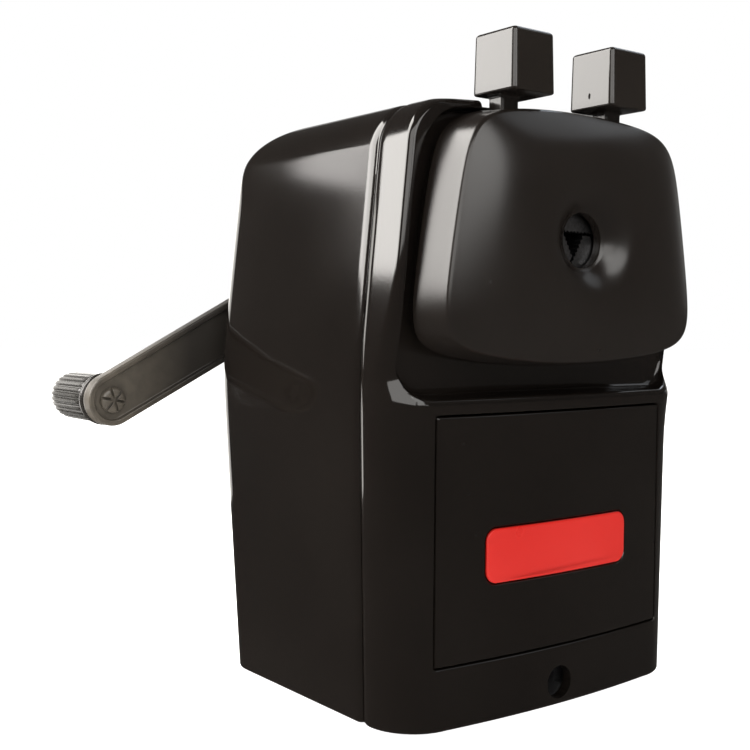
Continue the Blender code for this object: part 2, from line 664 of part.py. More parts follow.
def lever(name, s, y0, y1):
    obj = finish(name, cyl_bm("Y", RING_R, y0, y1, AX, 36), STEEL, origin=HINGE)
    arm = [(s * 12.2, 4.0), (s * 16.4, 18.6), (s * 16.4, 19.7), (s * 12.4, 19.7), (s * 3.0, 12.4), (s * 2.0, 8.0)]
    a, b = sorted((s * 13.3, s * 15.5))
    join(obj, prism_bm(up(arm), y0, y1), box_bm(a, b, *TANG_Y, Z_AXIS + 18.3, 126.2))
    if y0 < TANG_Y[0]:
        join(obj, box_bm(a, b, y0, TANG_Y[1], Z_AXIS + 18.3, Z_AXIS + 19.7))    # joggle back to the tang
    cut(obj, cyl_bm("Y", RING_BORE, -60, 0, AX, 28))
    return obj


def tab(name, s):
    """Square finger tab on the lever's tang, with a neck down into the head."""
    t = TAB
    rings = []
    for z, inset in ((t["z0"], 0.5), (t["z0"] + 0.5, 0.0), (t["z1"] - 0.7, 0.24), (t["z1"], 0.95)):
        a, b = sorted((s * (t["x0"] + inset), s * (t["x1"] - inset)))
        rings.append([(a, t["y0"] + inset, z), (b, t["y0"] + inset, z), (b, t["y1"] - inset, z), (a, t["y1"] - inset, z)])
    obj = finish(name, loft_bm(rings), BLACK_GLOSS, smooth=False, origin=HINGE)
    join(obj, box_bm(min(s * 12.2, s * 16.6), max(s * 12.2, s * 16.6), -32.0, -28.2, 112.5, 120.0))
    cut(obj, box_bm(min(s * 13.0, s * 15.8), max(s * 13.0, s * 15.8), TANG_Y[0] - 0.3, TANG_Y[1] + 0.3, 100.0, 126.5))
    return obj


LEFT_Y, RIGHT_Y, JAW_Y = (-30.9, -29.3), (-32.8, -31.2), (-34.9, -33.1)
left_lever = lever("left_lever", -1, *LEFT_Y)
right_lever = lever("right_lever", 1, *RIGHT_Y)
left_tab = tab("left_tab", -1)
right_tab = tab("right_tab", 1)

for k in range(3):
    pivot = jaw_point(k, *JAW_PIVOT)
    peg = jaw_point(k, *JAW_PEG)
    at = (pivot[0], Z_AXIS + pivot[1])
    cut(left_lever, cyl_bm("Y", 1.3, -40, -20, at, 12))
    turned(f"jaw_pin_{k + 1}", [(0, -34.8), (1.0, -34.8), (1.0, -29.4), (0, -29.4)], STEEL, at, 12)
    # The levers turn opposite ways, so the jaws' pins and drive pegs sweep slots in the right ring.
    pin_path = [turn_cw(pivot, 2 * TAB_SWING * i / 4) for i in range(5)]
    peg_path = [turn_cw(turn_cw(peg, JAW_SWING * i / 5, pivot), 2 * TAB_SWING * i / 5) for i in range(6)]
    cut(right_lever, prism_bm(up(slot_outline(pin_path, 1.4)), -40, -20), prism_bm(up(slot_outline(peg_path, 1.5)), -40, -20))
    edge = [(1.6, -6.9)]
    for i in range(7):
        t = -4.6 + i * 0.95
        edge += [(1.6, t), (2.0, t + 0.62)]
    shape = edge + [(1.6, 2.2), (1.9, 2.45), (3.5, 3.3), (6.5, 1.5), (9.4, -1.6), (9.7, -3.6), (6.6, -8.6), (4.6, -10.2), (2.6, -9.8)]
    jaw = finish(f"jaw_{k + 1}", prism_bm(up([jaw_point(k, n, t) for n, t in shape]), *JAW_Y), DARK_STEEL, smooth=False, origin=(at[0], -34.0, at[1]))
    join(jaw, cyl_bm("Y", 1.1, JAW_Y[1] - 0.5, -31.4, (peg[0], Z_AXIS + peg[1]), 12))
    cut(jaw, cyl_bm("Y", 1.3, -40, -30, at, 12))

coil("tab_spring", STEEL, (-6.4, -31.05, Z_AXIS + 17.0), (6.4, -31.05, Z_AXIS + 17.0), 6, 1.2, 0.24, "X", 6)

# ---- crank, carrier and cutter --------------------------------------------------------------
CRANK = (0, 30, Z_AXIS)
carrier = finish("cutter_carrier", cyl_bm("Y", 13.3, -18.8, -17.2, AX, 32), ZINC, origin=CRANK)
join(
    carrier,
    cyl_bm("Y", 8.7, -23.6, -18.0, AX, 28),
    *(box_bm(min(s * 9.0, s * 12.0), max(s * 9.0, s * 12.0), -17.8, 12.5, Z_AXIS - 4.5, Z_AXIS + 4.5) for s in (-1, 1)),
    cyl_bm("Y", 12.7, 11.5, 14.0, AX, 28),
    cyl_bm("Y", 6.6, 13.5, 18.0, AX, 24),
)


def along_cutter(name, look, stations, outline, origin_y, cap=True):
    """A solid about the inclined cutter axis. Stations hold (y of the axis point, scale, twist)."""
    rings = []
    c, s = math.cos(CUT_CONE), math.sin(CUT_CONE)
    for y, scale, twist in stations:
        ring = []
        for a, r in outline:
            a, r = a + twist, r * scale
            u, v = r * math.cos(a), r * math.sin(a)     # u along X, v in the plane of the two axes
            ring.append((u, y + v * s, cutter_z(y) + v * c))
        rings.append(ring)
    return finish(name, loft_bm(rings), look, origin=(0, origin_y, cutter_z(origin_y)))


def circle(r, n):
    return [(2 * math.pi * i / n, r) for i in range(n)]


axle_hole = along_cutter("axle_hole", None, [(-26.0, 1, 0), (13.3, 1, 0)], circle(1.9, 12), -26)
cut(carrier, cyl_bm("Y", 5.0, -30, -10, AX, 24), cyl_bm("Y", 4.3, 14.6, 30, AX, 20), axle_hole)
cutter_axle = along_cutter("cutter_axle", STEEL, [(-18.3, 1, 0), (13.0, 1, 0)], circle(1.5, 12), -18.3)

pitch = (APEX_Y + 14.0) / math.cos(CUT_CONE) * math.tan(PINION_CONE)
m = 2 * pitch / N_PINION
teeth = toothed(N_PINION, pitch, False, 90.0, 0.62 * m, 1.1 * m, (3.6, 6.0, 8.6))
pinion = along_cutter(
    "cutter_pinion", DARK_STEEL,
    [(y, (APEX_Y - y) / (APEX_Y + 14.0), 0.0) for y in (-15.7, -12.3)], teeth, -14.0,
)
cut(pinion, along_cutter("pinion_bore", None, [(-26.0, 1, 0), (13.0, 1, 0)], circle(1.85, 12), -26))
flutes = []
for i in range(10):
    a = 36.0 * i
    flutes += [(math.radians(a), CUT_R), (math.radians(a + 20), CUT_R - 1.0)]
helical_cutter = along_cutter(
    "helical_cutter", STEEL,
    [(-11.7 + 21.6 * i / 8, 1.0, math.radians(13.0 * i)) for i in range(9)], flutes, -14.0,
)
cut(helical_cutter, along_cutter("cutter_bore", None, [(-26.0, 1, 0), (13.4, 1, 0)], circle(1.85, 12), -26))

crank_shaft = turned("crank_shaft", [(0, 15.0), (3.6, 15.0), (SHAFT_R, 15.4), (SHAFT_R, 39.4), (3.7, 39.7), (0, 39.7)], STEEL, AX, 20)
cut(crank_shaft, cyl_bm("Y", 1.8, 33.0, 45, AX, 10))

KNOB = (ARM_L * math.cos(ARM_ANGLE), ARM_L * math.sin(ARM_ANGLE))
KNOB_AT = (KNOB[0], Z_AXIS + KNOB[1])


def arm_outline(r_hub, r_end):
    """Two circles and their tangents, hub at the crank axis."""
    tilt = math.asin((r_hub - r_end) / ARM_L)
    pts = []
    for i in range(13):
        a = ARM_ANGLE + math.pi / 2 - tilt + (math.pi + 2 * tilt) * i / 12
        pts.append((r_hub * math.cos(a), Z_AXIS + r_hub * math.sin(a)))
    for i in range(11):
        a = ARM_ANGLE - math.pi / 2 + tilt + (math.pi - 2 * tilt) * i / 10
        pts.append((KNOB_AT[0] + r_end * math.cos(a), KNOB_AT[1] + r_end * math.sin(a)))
    return pts


crank_arm = finish("crank_arm", prism_bm(arm_outline(6.1, 5.5), 37.0, 40.6), GREY_BLACK, origin=CRANK)
join(crank_arm, cyl_bm("Y", 8.6, 35.2, 43.0, AX, 28))
cut(
    crank_arm,
    prism_bm(arm_outline(4.9, 4.3), 30.0, 38.1),
)
join(crank_arm, cyl_bm("Y", 8.2, 35.4, 42.0, AX, 28))
cut(
    crank_arm,
    cyl_bm("Y", 4.3, 30, 40.0, AX, 20),
    cyl_bm("Y", 1.9, 30, 50.0, AX, 10),
    cyl_bm("Y", 4.1, 41.7, 50.0, AX, 20),
    cyl_bm("Y", 2.3, 30, 50.0, KNOB_AT, 16),
)
hub_washer = turned("hub_washer", [(1.8, 42.0), (3.7, 42.0), (3.7, 42.6), (1.8, 42.6)], STEEL, AX, 20)
hub_screw = turned("hub_screw", [(0, 34.0), (1.5, 34.0), (1.5, 42.9), (3.1, 42.9), (3.1, 44.0), (2.3, 44.7), (0, 44.7)], STEEL, AX, 16)
cut(hub_screw, box_bm(-2.4, 2.4, 43.9, 46, Z_AXIS - 0.35, Z_AXIS + 0.35), box_bm(-0.35, 0.35, 43.9, 46, Z_AXIS - 2.4, Z_AXIS + 2.4))

knob_outline = []
for i in range(24):
    a = 360.0 / 24 * i
    knob_outline += [(math.radians(a - 4.2), 5.2), (math.radians(a + 4.2), 5.2), (math.radians(a + 7.5), 4.85)]


def knob_ring(y, scale, round_r=None):
    return [(KNOB_AT[0] + (round_r or r * scale) * math.cos(a), y, KNOB_AT[1] + (round_r or r * scale) * math.sin(a)) for a, r in knob_outline]


knob = finish(
    "knob",
    loft_bm([
        knob_ring(40.9, 1, 5.2), knob_ring(41.2, 1, 5.6), knob_ring(42.3, 1, 5.6), knob_ring(42.7, 1, 5.2), knob_ring(43.3, 1, 4.75),
        knob_ring(43.5, 1), knob_ring(58.0, 0.985), knob_ring(59.3, 0.93), knob_ring(60.1, 0.8), knob_ring(60.4, 0.6),
    ]),
    GREY_BLACK,
    origin=(KNOB_AT[0], 38, KNOB_AT[1]),
)
cut(knob, cyl_bm("Y", 2.2, 30, 53.0, KNOB_AT, 16))
knob_pin = turned("knob_snap_pin", [(0, 36.5), (2.3, 36.5), (2.75, 36.9), (2.75, 37.8), (1.9, 37.8), (1.9, 52.6), (0, 52.6)], GREY_BLACK, KNOB_AT, 18)
for i in range(3):
    blade = box_bm(-3.5, 3.5, 36.0, 37.4, -0.35, 0.35)
    bmesh.ops.rotate(blade, cent=(0, 0, 0), matrix=Matrix.Rotation(math.radians(60 * i + 12), 3, "Y"), verts=blade.verts)
    bmesh.ops.translate(blade, vec=(KNOB_AT[0], 0, KNOB_AT[1]), verts=blade.verts)
    cut(knob_pin, blade)

# ---- bodies: each moving group hangs on an empty at its joint -------------------------------
def group(name, at, members, parent=None):
    empty = bpy.data.objects.new(name, None)
    empty.empty_display_size = 0.01
    empty.location = Vector(at) * MM
    parts.objects.link(empty)
    if parent:
        bpy.context.view_layer.update()
        empty.parent = parent
        empty.matrix_parent_inverse = parent.matrix_world.inverted()
    bpy.context.view_layer.update()
    for member in members:
        obj = bpy.data.objects[member]
        obj.parent = empty
        obj.matrix_parent_inverse = empty.matrix_world.inverted()
    return empty


group("drawer_slide", (0, Y_FRONT, 12.65), ["drawer_tray", "drawer_front", "drawer_badge"])
head = group("head_slide", (0, Y_HEAD_BACK, Z_AXIS), ["faceplate", "chuck_backplate", "guide_rod_left", "guide_rod_right", "rod_clip_left", "rod_clip_right", "chuck_screw_left", "chuck_screw_right", "tab_spring"])
left = group("left_tab_turn", HINGE, ["left_lever", "left_tab", "jaw_pin_1", "jaw_pin_2", "jaw_pin_3"], head)
group("right_tab_turn", HINGE, ["right_lever", "right_tab"], head)
for k in range(3):
    p = jaw_point(k, *JAW_PIVOT)
    group(f"jaw_{k + 1}_turn", (p[0], -34.0, Z_AXIS + p[1]), [f"jaw_{k + 1}"], left)
crank = group("crank_turn", CRANK, ["crank_shaft", "cutter_carrier", "cutter_axle", "crank_arm", "hub_washer", "hub_screw"])
group("cutter_turn", (0, -14, cutter_z(-14)), ["helical_cutter", "cutter_pinion"], crank)
group("knob_turn", (KNOB_AT[0], 38, KNOB_AT[1]), ["knob", "knob_snap_pin"], crank)
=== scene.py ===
"""Looks of the crank pencil sharpener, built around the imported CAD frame. Lengths below are millimetres."""
import math

import bmesh
import bpy
import numpy as np
from mathutils import Matrix, Vector


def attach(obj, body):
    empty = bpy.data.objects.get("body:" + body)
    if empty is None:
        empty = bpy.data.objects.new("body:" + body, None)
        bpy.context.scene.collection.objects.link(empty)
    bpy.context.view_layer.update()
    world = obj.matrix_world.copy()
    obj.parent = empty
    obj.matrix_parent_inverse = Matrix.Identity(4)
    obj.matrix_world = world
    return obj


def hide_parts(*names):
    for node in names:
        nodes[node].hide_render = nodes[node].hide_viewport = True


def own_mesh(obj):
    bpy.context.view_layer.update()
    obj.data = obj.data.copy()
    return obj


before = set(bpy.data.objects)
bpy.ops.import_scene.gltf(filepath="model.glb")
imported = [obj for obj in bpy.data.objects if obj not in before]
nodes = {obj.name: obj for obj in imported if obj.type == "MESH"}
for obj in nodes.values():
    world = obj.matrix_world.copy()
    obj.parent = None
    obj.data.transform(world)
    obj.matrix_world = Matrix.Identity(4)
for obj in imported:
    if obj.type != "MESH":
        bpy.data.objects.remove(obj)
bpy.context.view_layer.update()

MM = 0.001
scene = bpy.context.scene

# ---- dimensions repeated from the CAD --------------------------------------------------------
H_TOP = 117.8
Z_WAIST = 67.6
W_BOT, W_MID, W_TOP = 38.5, 40.0, 34.6
CROWN, CROWN_W, R_FRONT, NOTCH = 1.0, 27.0, 1.8, 18.4
Y_FRONT, BOW = -31.05, 1.6
Z_LEDGE, Y_RIM, Y_FLOOR, Y_SEAM, WALL = 62.3, -28.5, -26.0, -18.8, 2.2
Z_AXIS, R_HOLE = 92.2, 5.3
Y_CREASE, Y_HOLE, Y_DOME, Y_HEAD_BACK = -36.5, -37.3, -40.5, -27.7
ROD_X, ROD_Z = 25.5, 84.0
ARM_L, ARM_ANGLE = 70.7, math.radians(207.5)
KNOB_AT = (ARM_L * math.cos(ARM_ANGLE), Z_AXIS + ARM_L * math.sin(ARM_ANGLE))


# ---- small helpers ---------------------------------------------------------------------------
def interp(x, xs, ys):
    return float(np.interp(x, xs, ys))


def low_of(a, b, k):
    """Smooth minimum of two straight lines."""
    return 0.5 * (a + b) - 0.5 * math.sqrt((a - b) ** 2 + k * k)


def rounding(d, r):
    """How far a rounded edge of radius r has drawn in, at a distance d before the face it meets."""
    if d >= r:
        return 0.0
    d = max(d, 0.0)
    return r - math.sqrt(max(r * r - (r - d) ** 2, 0.0))


def arc_steps(r, n):
    """Distances from the end of a quarter round, evenly spread in angle, from r down to 0."""
    return [r * (1 - math.sin(math.pi / 2 * i / n)) for i in range(n + 1)]


def mesh_object(name, verts, faces, angle=30.0, recalc=True):
    bm = bmesh.new()
    vs = [bm.verts.new(v) for v in verts]
    for f in faces:
        try:
            bm.faces.new([vs[i] for i in f])
        except ValueError:
            pass
    return bm_object(name, bm, angle, recalc)


def bm_object(name, bm, angle=30.0, recalc=True, scale=MM):
    if recalc:
        bmesh.ops.recalc_face_normals(bm, faces=bm.faces)
    bmesh.ops.scale(bm, vec=(scale, scale, scale), verts=bm.verts)
    mesh = bpy.data.meshes.new(name)
    bm.to_mesh(mesh)
    bm.free()
    mesh.shade_smooth()
    mesh.set_sharp_from_angle(angle=math.radians(angle))
    obj = bpy.data.objects.new(name, mesh)
    scene.collection.objects.link(obj)
    return obj


def loft(rings, closed=False, cap=True):
    """bmesh skin over equally long rings of points."""
    bm = bmesh.new()
    grid = [[bm.verts.new(p) for p in ring] for ring in rings]
    n = len(rings[0])
    for a, b in list(zip(grid, grid[1:])) + ([(grid[-1], grid[0])] if closed else []):
        for i in range(n):
            bm.faces.new((a[i], a[(i + 1) % n], b[(i + 1) % n], b[i]))
    if cap and not closed:
        bm.faces.new(grid[0])
        bm.faces.new(list(reversed(grid[-1])))
    return bm


def box(x0, x1, y0, y1, z0, z1):
    bm = bmesh.new()
    bmesh.ops.create_cube(bm, size=1.0)
    bmesh.ops.scale(bm, vec=(x1 - x0, y1 - y0, z1 - z0), verts=bm.verts)
    bmesh.ops.translate(bm, vec=((x0 + x1) / 2, (y0 + y1) / 2, (z0 + z1) / 2), verts=bm.verts)
    return bm


def cyl(axis, r, a, b, centre, seg=64, r2=None):
    bm = bmesh.new()
    bmesh.ops.create_cone(bm, cap_ends=True, segments=seg, radius1=r, radius2=r if r2 is None else r2, depth=b - a)
    turn = {"X": Matrix.Rotation(math.radians(90), 4, "Y"), "Y": Matrix.Rotation(math.radians(-90), 4, "X"), "Z": Matrix.Identity(4)}[axis]
    bmesh.ops.transform(bm, matrix=turn, verts=bm.verts)
    mid = (a + b) / 2
    at = {"X": (mid, centre[0], centre[1]), "Y": (centre[0], mid, centre[1]), "Z": (centre[0], centre[1], mid)}[axis]
    bmesh.ops.translate(bm, vec=at, verts=bm.verts)
    return bm


def turned(profile, centre, seg=64):
    """bmesh of a closed profile of (radius, y) turned about an axis along Y; radius 0 ends are closed."""
    bm = bmesh.new()
    rows = []
    for r, y in profile:
        if r < 1e-6:
            rows.append([bm.verts.new((centre[0], y, centre[1]))])
        else:
            rows.append([bm.verts.new((centre[0] + r * math.cos(2 * math.pi * i / seg), y, centre[1] + r * math.sin(2 * math.pi * i / seg))) for i in range(seg)])
    pairs = list(zip(rows, rows[1:]))
    if len(rows[0]) > 1:
        pairs.append((rows[-1], rows[0]))
    for a, b in pairs:
        for i in range(seg):
            j = (i + 1) % seg
            quad = [a[i % len(a)], a[j % len(a)], b[j % len(b)], b[i % len(b)]]
            face = []
            for v in quad:
                if v not in face:
                    face.append(v)
            if len(face) > 2:
                bm.faces.new(face)
    return bm


def boolean(obj, bm, operation="DIFFERENCE"):
    """Applies one exact Boolean with a bmesh in millimetres, and removes the tool."""
    tool = bm_object("tool", bm, recalc=True) if not isinstance(bm, bpy.types.Object) else bm
    mod = obj.modifiers.new("b", "BOOLEAN")
    mod.operation = operation
    mod.solver = "EXACT"
    mod.object = tool
    apply_modifiers(obj)
    bpy.data.objects.remove(tool, do_unlink=True)
    return obj


def apply_modifiers(obj):
    bpy.context.view_layer.update()
    graph = bpy.context.evaluated_depsgraph_get()
    mesh = bpy.data.meshes.new_from_object(obj.evaluated_get(graph), preserve_all_data_layers=True, depsgraph=graph)
    old = obj.data
    obj.modifiers.clear()
    obj.data = mesh
    mesh.name = obj.name
    if old.users == 0:
        bpy.data.meshes.remove(old)
    return obj


def tidy(obj, angle=30.0, weighted=True):
    """Smooth shading with crisp edges, and normals weighted by face area after Booleans."""
    bm = bmesh.new()
    bm.from_mesh(obj.data)
    bmesh.ops.remove_doubles(bm, verts=bm.verts, dist=0.000002)
    bmesh.ops.dissolve_degenerate(bm, dist=0.000001, edges=bm.edges)
    bm.to_mesh(obj.data)
    bm.free()
    obj.data.shade_smooth()
    obj.data.set_sharp_from_angle(angle=math.radians(angle))
    if weighted:
        mod = obj.modifiers.new("weighted", "WEIGHTED_NORMAL")
        mod.keep_sharp = True
        mod.weight = 50
        mod.mode = "FACE_AREA_WITH_ANGLE"
        apply_modifiers(obj)
    return obj


def bevel(obj, width, segments=3, angle=30.0):
    mod = obj.modifiers.new("edge", "BEVEL")
    mod.width = width * MM
    mod.segments = segments
    mod.limit_method = "ANGLE"
    mod.angle_limit = math.radians(angle)
    mod.harden_normals = False
    mod.use_clamp_overlap = True
    return apply_modifiers(obj)


# ---- procedural materials --------------------------------------------------------------------
class Net:
    """A little help for wiring nodes."""

    def __init__(self, name):
        self.mat = bpy.data.materials.new(name)
        self.mat.use_nodes = True
        self.tree = self.mat.node_tree
        self.tree.nodes.clear()
        self.out = self.add("ShaderNodeOutputMaterial")
        self.bsdf = self.add("ShaderNodeBsdfPrincipled")
        self.link(self.bsdf.outputs["BSDF"], self.out.inputs["Surface"])
        self.coord = self.add("ShaderNodeTexCoord").outputs["Object"]

    def add(self, kind, **values):
        node = self.tree.nodes.new(kind)
        for key, value in values.items():
            if hasattr(node, key):
                setattr(node, key, value)
            else:
                node.inputs[key.replace("_", " ")].default_value = value
        return node

    def link(self, a, b):
        self.tree.links.new(a, b)

    def noise(self, scale, detail=3.0, rough=0.5, stretch=None):
        node = self.add("ShaderNodeTexNoise")
        node.inputs["Scale"].default_value = scale
        node.inputs["Detail"].default_value = detail
        node.inputs["Roughness"].default_value = rough
        if stretch:
            m = self.add("ShaderNodeMapping")
            m.inputs["Scale"].default_value = stretch
            self.link(self.coord, m.inputs["Vector"])
            self.link(m.outputs["Vector"], node.inputs["Vector"])
        else:
            self.link(self.coord, node.inputs["Vector"])
        return node.outputs["Fac"]

    def remap(self, socket, a, b, c, d):
        node = self.add("ShaderNodeMapRange")
        for key, value in (("From Min", a), ("From Max", b), ("To Min", c), ("To Max", d)):
            node.inputs[key].default_value = value
        self.link(socket, node.inputs["Value"])
        return node.outputs["Result"]

    def mix(self, fac, a, b):
        node = self.add("ShaderNodeMix", data_type="RGBA")
        if isinstance(fac, float):
            node.inputs[0].default_value = fac
        else:
            self.link(fac, node.inputs[0])
        for socket, value in ((node.inputs[6], a), (node.inputs[7], b)):
            if isinstance(value, tuple):
                socket.default_value = (*value, 1.0)
            else:
                self.link(value, socket)
        return node.outputs[2]

    def bump(self, height, distance, strength=1.0, normal=None):
        node = self.add("ShaderNodeBump")
        node.inputs["Strength"].default_value = strength
        node.inputs["Distance"].default_value = distance
        self.link(height, node.inputs["Height"])
        if normal:
            self.link(normal, node.inputs["Normal"])
        return node.outputs["Normal"]

    def set(self, key, value):
        if isinstance(value, (int, float)):
            self.bsdf.inputs[key].default_value = value
        elif isinstance(value, tuple):
            self.bsdf.inputs[key].default_value = (*value, 1.0)
        else:
            self.link(value, self.bsdf.inputs[key])


def plastic(name, dark, light, rough, wave=0.0, grain=0.0, specks=True, spec=0.5, grain_scale=2600.0, lit_end=None):
    """Moulded plastic: faint mottling of colour and gloss, long flow waves and a fine grain."""
    n = Net(name)
    big, fine = n.noise(28.0, 4.0, 0.55), n.noise(420.0, 3.0, 0.6)
    colour = n.mix(n.remap(big, 0.35, 0.65, 0.0, 1.0), dark, light)
    if lit_end:
        # painted light: the base colour lightens towards the end of the arm, where more light falls on it, broken up by
        # fine noise
        start, end, lit_tone = lit_end
        split = n.add("ShaderNodeSeparateXYZ")
        n.link(n.coord, split.inputs["Vector"])
        along = n.remap(split.outputs["X"], start, end, 0.0, 0.8)
        end_light = n.add("ShaderNodeMath", operation="MULTIPLY")
        n.link(along, end_light.inputs[0])
        n.link(n.remap(fine, 0.2, 0.6, 0.55, 1.15), end_light.inputs[1])
        end_light.use_clamp = True
        colour = n.mix(end_light.outputs[0], colour, lit_tone)
    n.set("Base Color", colour)
    base = n.remap(big, 0.3, 0.7, rough * 0.9, rough * 1.12)
    if specks:
        # a few tiny dust specks and rub marks that dull the gloss
        dust = n.add("ShaderNodeTexVoronoi")
        dust.inputs["Scale"].default_value = 150.0
        n.link(n.coord, dust.inputs["Vector"])
        spot = n.remap(dust.outputs["Distance"], 0.02, 0.07, 1.0, 0.0)
        gate = n.remap(n.noise(60.0, 1.0), 0.60, 0.66, 0.0, 1.0)
        both = n.add("ShaderNodeMath", operation="MULTIPLY")
        n.link(spot, both.inputs[0])
        n.link(gate, both.inputs[1])
        total = n.add("ShaderNodeMath", operation="MULTIPLY_ADD")
        n.link(both.outputs[0], total.inputs[0])
        total.inputs[1].default_value = 0.35
        n.link(base, total.inputs[2])
        n.set("Roughness", total.outputs[0])
    else:
        n.set("Roughness", base)
    normal = None
    if wave:
        normal = n.bump(n.noise(9.0, 2.0, 0.5), wave)
    if grain:
        normal = n.bump(n.noise(grain_scale, 2.0, 0.5), grain, normal=normal)
    if normal:
        n.set("Normal", normal)
    n.set("IOR", 1.5)
    n.set("Specular IOR Level", spec)
    return n.mat


def metal(name, dark, light, rough, grain=(40.0, 40.0, 40.0), spread=0.12, depth=0.00003, scale=60.0, wear=0.0):
    """Metal with drawn or ground marks along the axis where grain is small."""
    n = Net(name)
    lines = n.noise(scale, 4.0, 0.6, grain)
    cloud = n.noise(45.0, 3.0, 0.6)
    colour = n.mix(n.remap(lines, 0.3, 0.7, 0.0, 1.0), dark, light)
    if wear:
        colour = n.mix(n.remap(cloud, 0.45, 0.75, 0.0, wear), colour, (0.06, 0.05, 0.045))
    n.set("Base Color", colour)
    n.set("Metallic", 1.0)
    n.set("Roughness", n.remap(cloud, 0.3, 0.7, rough - spread * 0.5, rough + spread * 0.5))
    n.set("Normal", n.bump(lines, depth))
    return n.mat


def rubber(name):
    n = Net(name)
    grain = n.noise(1400.0, 3.0, 0.7)
    n.set("Base Color", n.mix(n.remap(n.noise(50.0, 4.0), 0.3, 0.7, 0.0, 1.0), (0.012, 0.012, 0.012), (0.028, 0.027, 0.026)))
    n.set("Roughness", n.remap(grain, 0.3, 0.7, 0.72, 0.9))
    n.set("Normal", n.bump(grain, 0.00008))
    return n.mat


MAT = {
    "shell": plastic("gloss_black", (0.0048, 0.0037, 0.0031), (0.0062, 0.0049, 0.0041), 0.09, wave=0.00006, grain=0.0000015),
    "head": plastic("head_black", (0.0075, 0.0058, 0.0048), (0.0095, 0.0075, 0.0062), 0.24, wave=0.00004, grain=0.0000018),
    "tab": plastic("tab_black", (0.0085, 0.0068, 0.0055), (0.011, 0.009, 0.0075), 0.15, wave=0.00002, grain=0.0000012),
    # painted light: the arm's colour is made lighter towards its knob end, where more light falls
    "arm": plastic("grey_black", (0.016, 0.014, 0.012), (0.024, 0.021, 0.018), 0.32, wave=0.00005, grain=0.000005,
                   lit_end=(-0.044, -0.062, (0.088, 0.076, 0.060))),
    "knob": plastic("knob_black", (0.015, 0.0138, 0.012), (0.024, 0.022, 0.0185), 0.27, grain=0.000004),
    "inner": plastic("inner_black", (0.012, 0.012, 0.0125), (0.02, 0.02, 0.021), 0.45, grain=0.00002),
    "tray": plastic("tray_black", (0.008, 0.008, 0.008), (0.014, 0.0138, 0.0135), 0.32, grain=0.00001),
    "red": plastic("badge_red", (0.45, 0.010, 0.006), (0.50, 0.014, 0.009), 0.30, grain=0.000004, specks=False),
    "nylon": plastic("nylon", (0.62, 0.6, 0.54), (0.7, 0.68, 0.62), 0.42, grain=0.00001, specks=False),
    "steel": metal("plated_steel", (0.50, 0.50, 0.51), (0.66, 0.66, 0.67), 0.26, (30.0, 3.0, 30.0)),
    "sheet": metal("pressed_steel", (0.44, 0.44, 0.45), (0.58, 0.58, 0.59), 0.34, (8.0, 60.0, 40.0), wear=0.25),
    "dark": metal("hardened_steel", (0.14, 0.14, 0.145), (0.26, 0.26, 0.265), 0.30, (30.0, 30.0, 30.0), wear=0.3),
    "cutter": metal("ground_steel", (0.42, 0.42, 0.43), (0.62, 0.62, 0.63), 0.2, (20.0, 80.0, 20.0)),
    "zinc": metal("cast_zinc", (0.34, 0.34, 0.35), (0.46, 0.46, 0.47), 0.46, (30.0, 30.0, 30.0), depth=0.00006),
    "bronze": metal("sintered_bronze", (0.42, 0.27, 0.11), (0.56, 0.38, 0.17), 0.42, (60.0, 60.0, 60.0)),
    "rubber": rubber("rubber"),
}
BY_NODE = {
    "steel": ["guide_rod_left", "guide_rod_right", "crank_shaft", "hub_screw", "hub_washer", "cutter_axle", "chuck_screw_left", "chuck_screw_right", "tab_spring", "feed_spring_left", "feed_spring_right", "jaw_pin_1", "jaw_pin_2", "jaw_pin_3"]
    + [n for n in nodes if n.startswith(("base_screw", "frame_screw"))],
    "sheet": ["left_lever", "right_lever"],
    "dark": ["ring_gear", "cutter_pinion", "rod_clip_left", "rod_clip_right", "jaw_1", "jaw_2", "jaw_3"],
    "cutter": ["helical_cutter"],
    "zinc": ["gear_frame", "chuck_backplate", "cutter_carrier"],
    "bronze": ["rear_bearing"],
    "nylon": ["front_bearing", "guide_bush_left", "guide_bush_right"],
    "rubber": ["anti_slip_pad"],
    "inner": ["base_plate"],
    "tray": ["drawer_tray"],
    "shell": ["rear_shell", "front_frame", "drawer_front"],
    "head": ["faceplate"],
    "tab": ["left_tab", "right_tab"],
    "arm": ["crank_arm"],
    "knob": ["knob", "knob_snap_pin"],
    "red": ["drawer_badge"],
}
for key, names in BY_NODE.items():
    for name in names:
        slots = nodes[name].material_slots
        if not slots:
            nodes[name].data.materials.append(MAT[key])
        for s in slots:
            s.material = MAT[key]


def piece(obj, look, body, slot, *cad):
    obj.data.materials.clear()
    obj.data.materials.append(MAT[look])
    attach(obj, body)
    if cad:
        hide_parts(*cad)
    return obj


# ---- housing ---------------------------------------------------------------------------------
def smooth(t):
    t = min(max(t, 0.0), 1.0)
    return t * t * (3 - 2 * t)


def half_width(z):
    a = W_BOT + (W_MID - W_BOT) / Z_WAIST * z
    b = W_MID + (W_TOP - W_MID) / (H_TOP - Z_WAIST) * (z - Z_WAIST)
    return low_of(a, b, 0.7) + 0.2


def back_y(z):
    a = 29.7 + (35.0 - 29.7) / Z_WAIST * z
    b = 35.0 + (33.6 - 35.0) / (H_TOP - Z_WAIST) * (z - Z_WAIST)
    return low_of(a, b, 0.7) + 0.05


def front_y(z):
    return Y_FRONT + (Y_RIM - Y_FRONT) * smooth((z - 60.5) / 6.5)


def front_bow(z):
    return BOW * (1 - smooth((z - 60.5) / 6.5))


def corner_r(z):
    return 1.25 + 8.75 * (1 - smooth((z - 50.0) / 40.0))


def edge_in(x, z):
    """How far the rounded front edge of the crowned roof has drawn in."""
    return rounding(H_TOP + CROWN * max(1 - (x / CROWN_W) ** 2, 0.0) - z, R_FRONT)


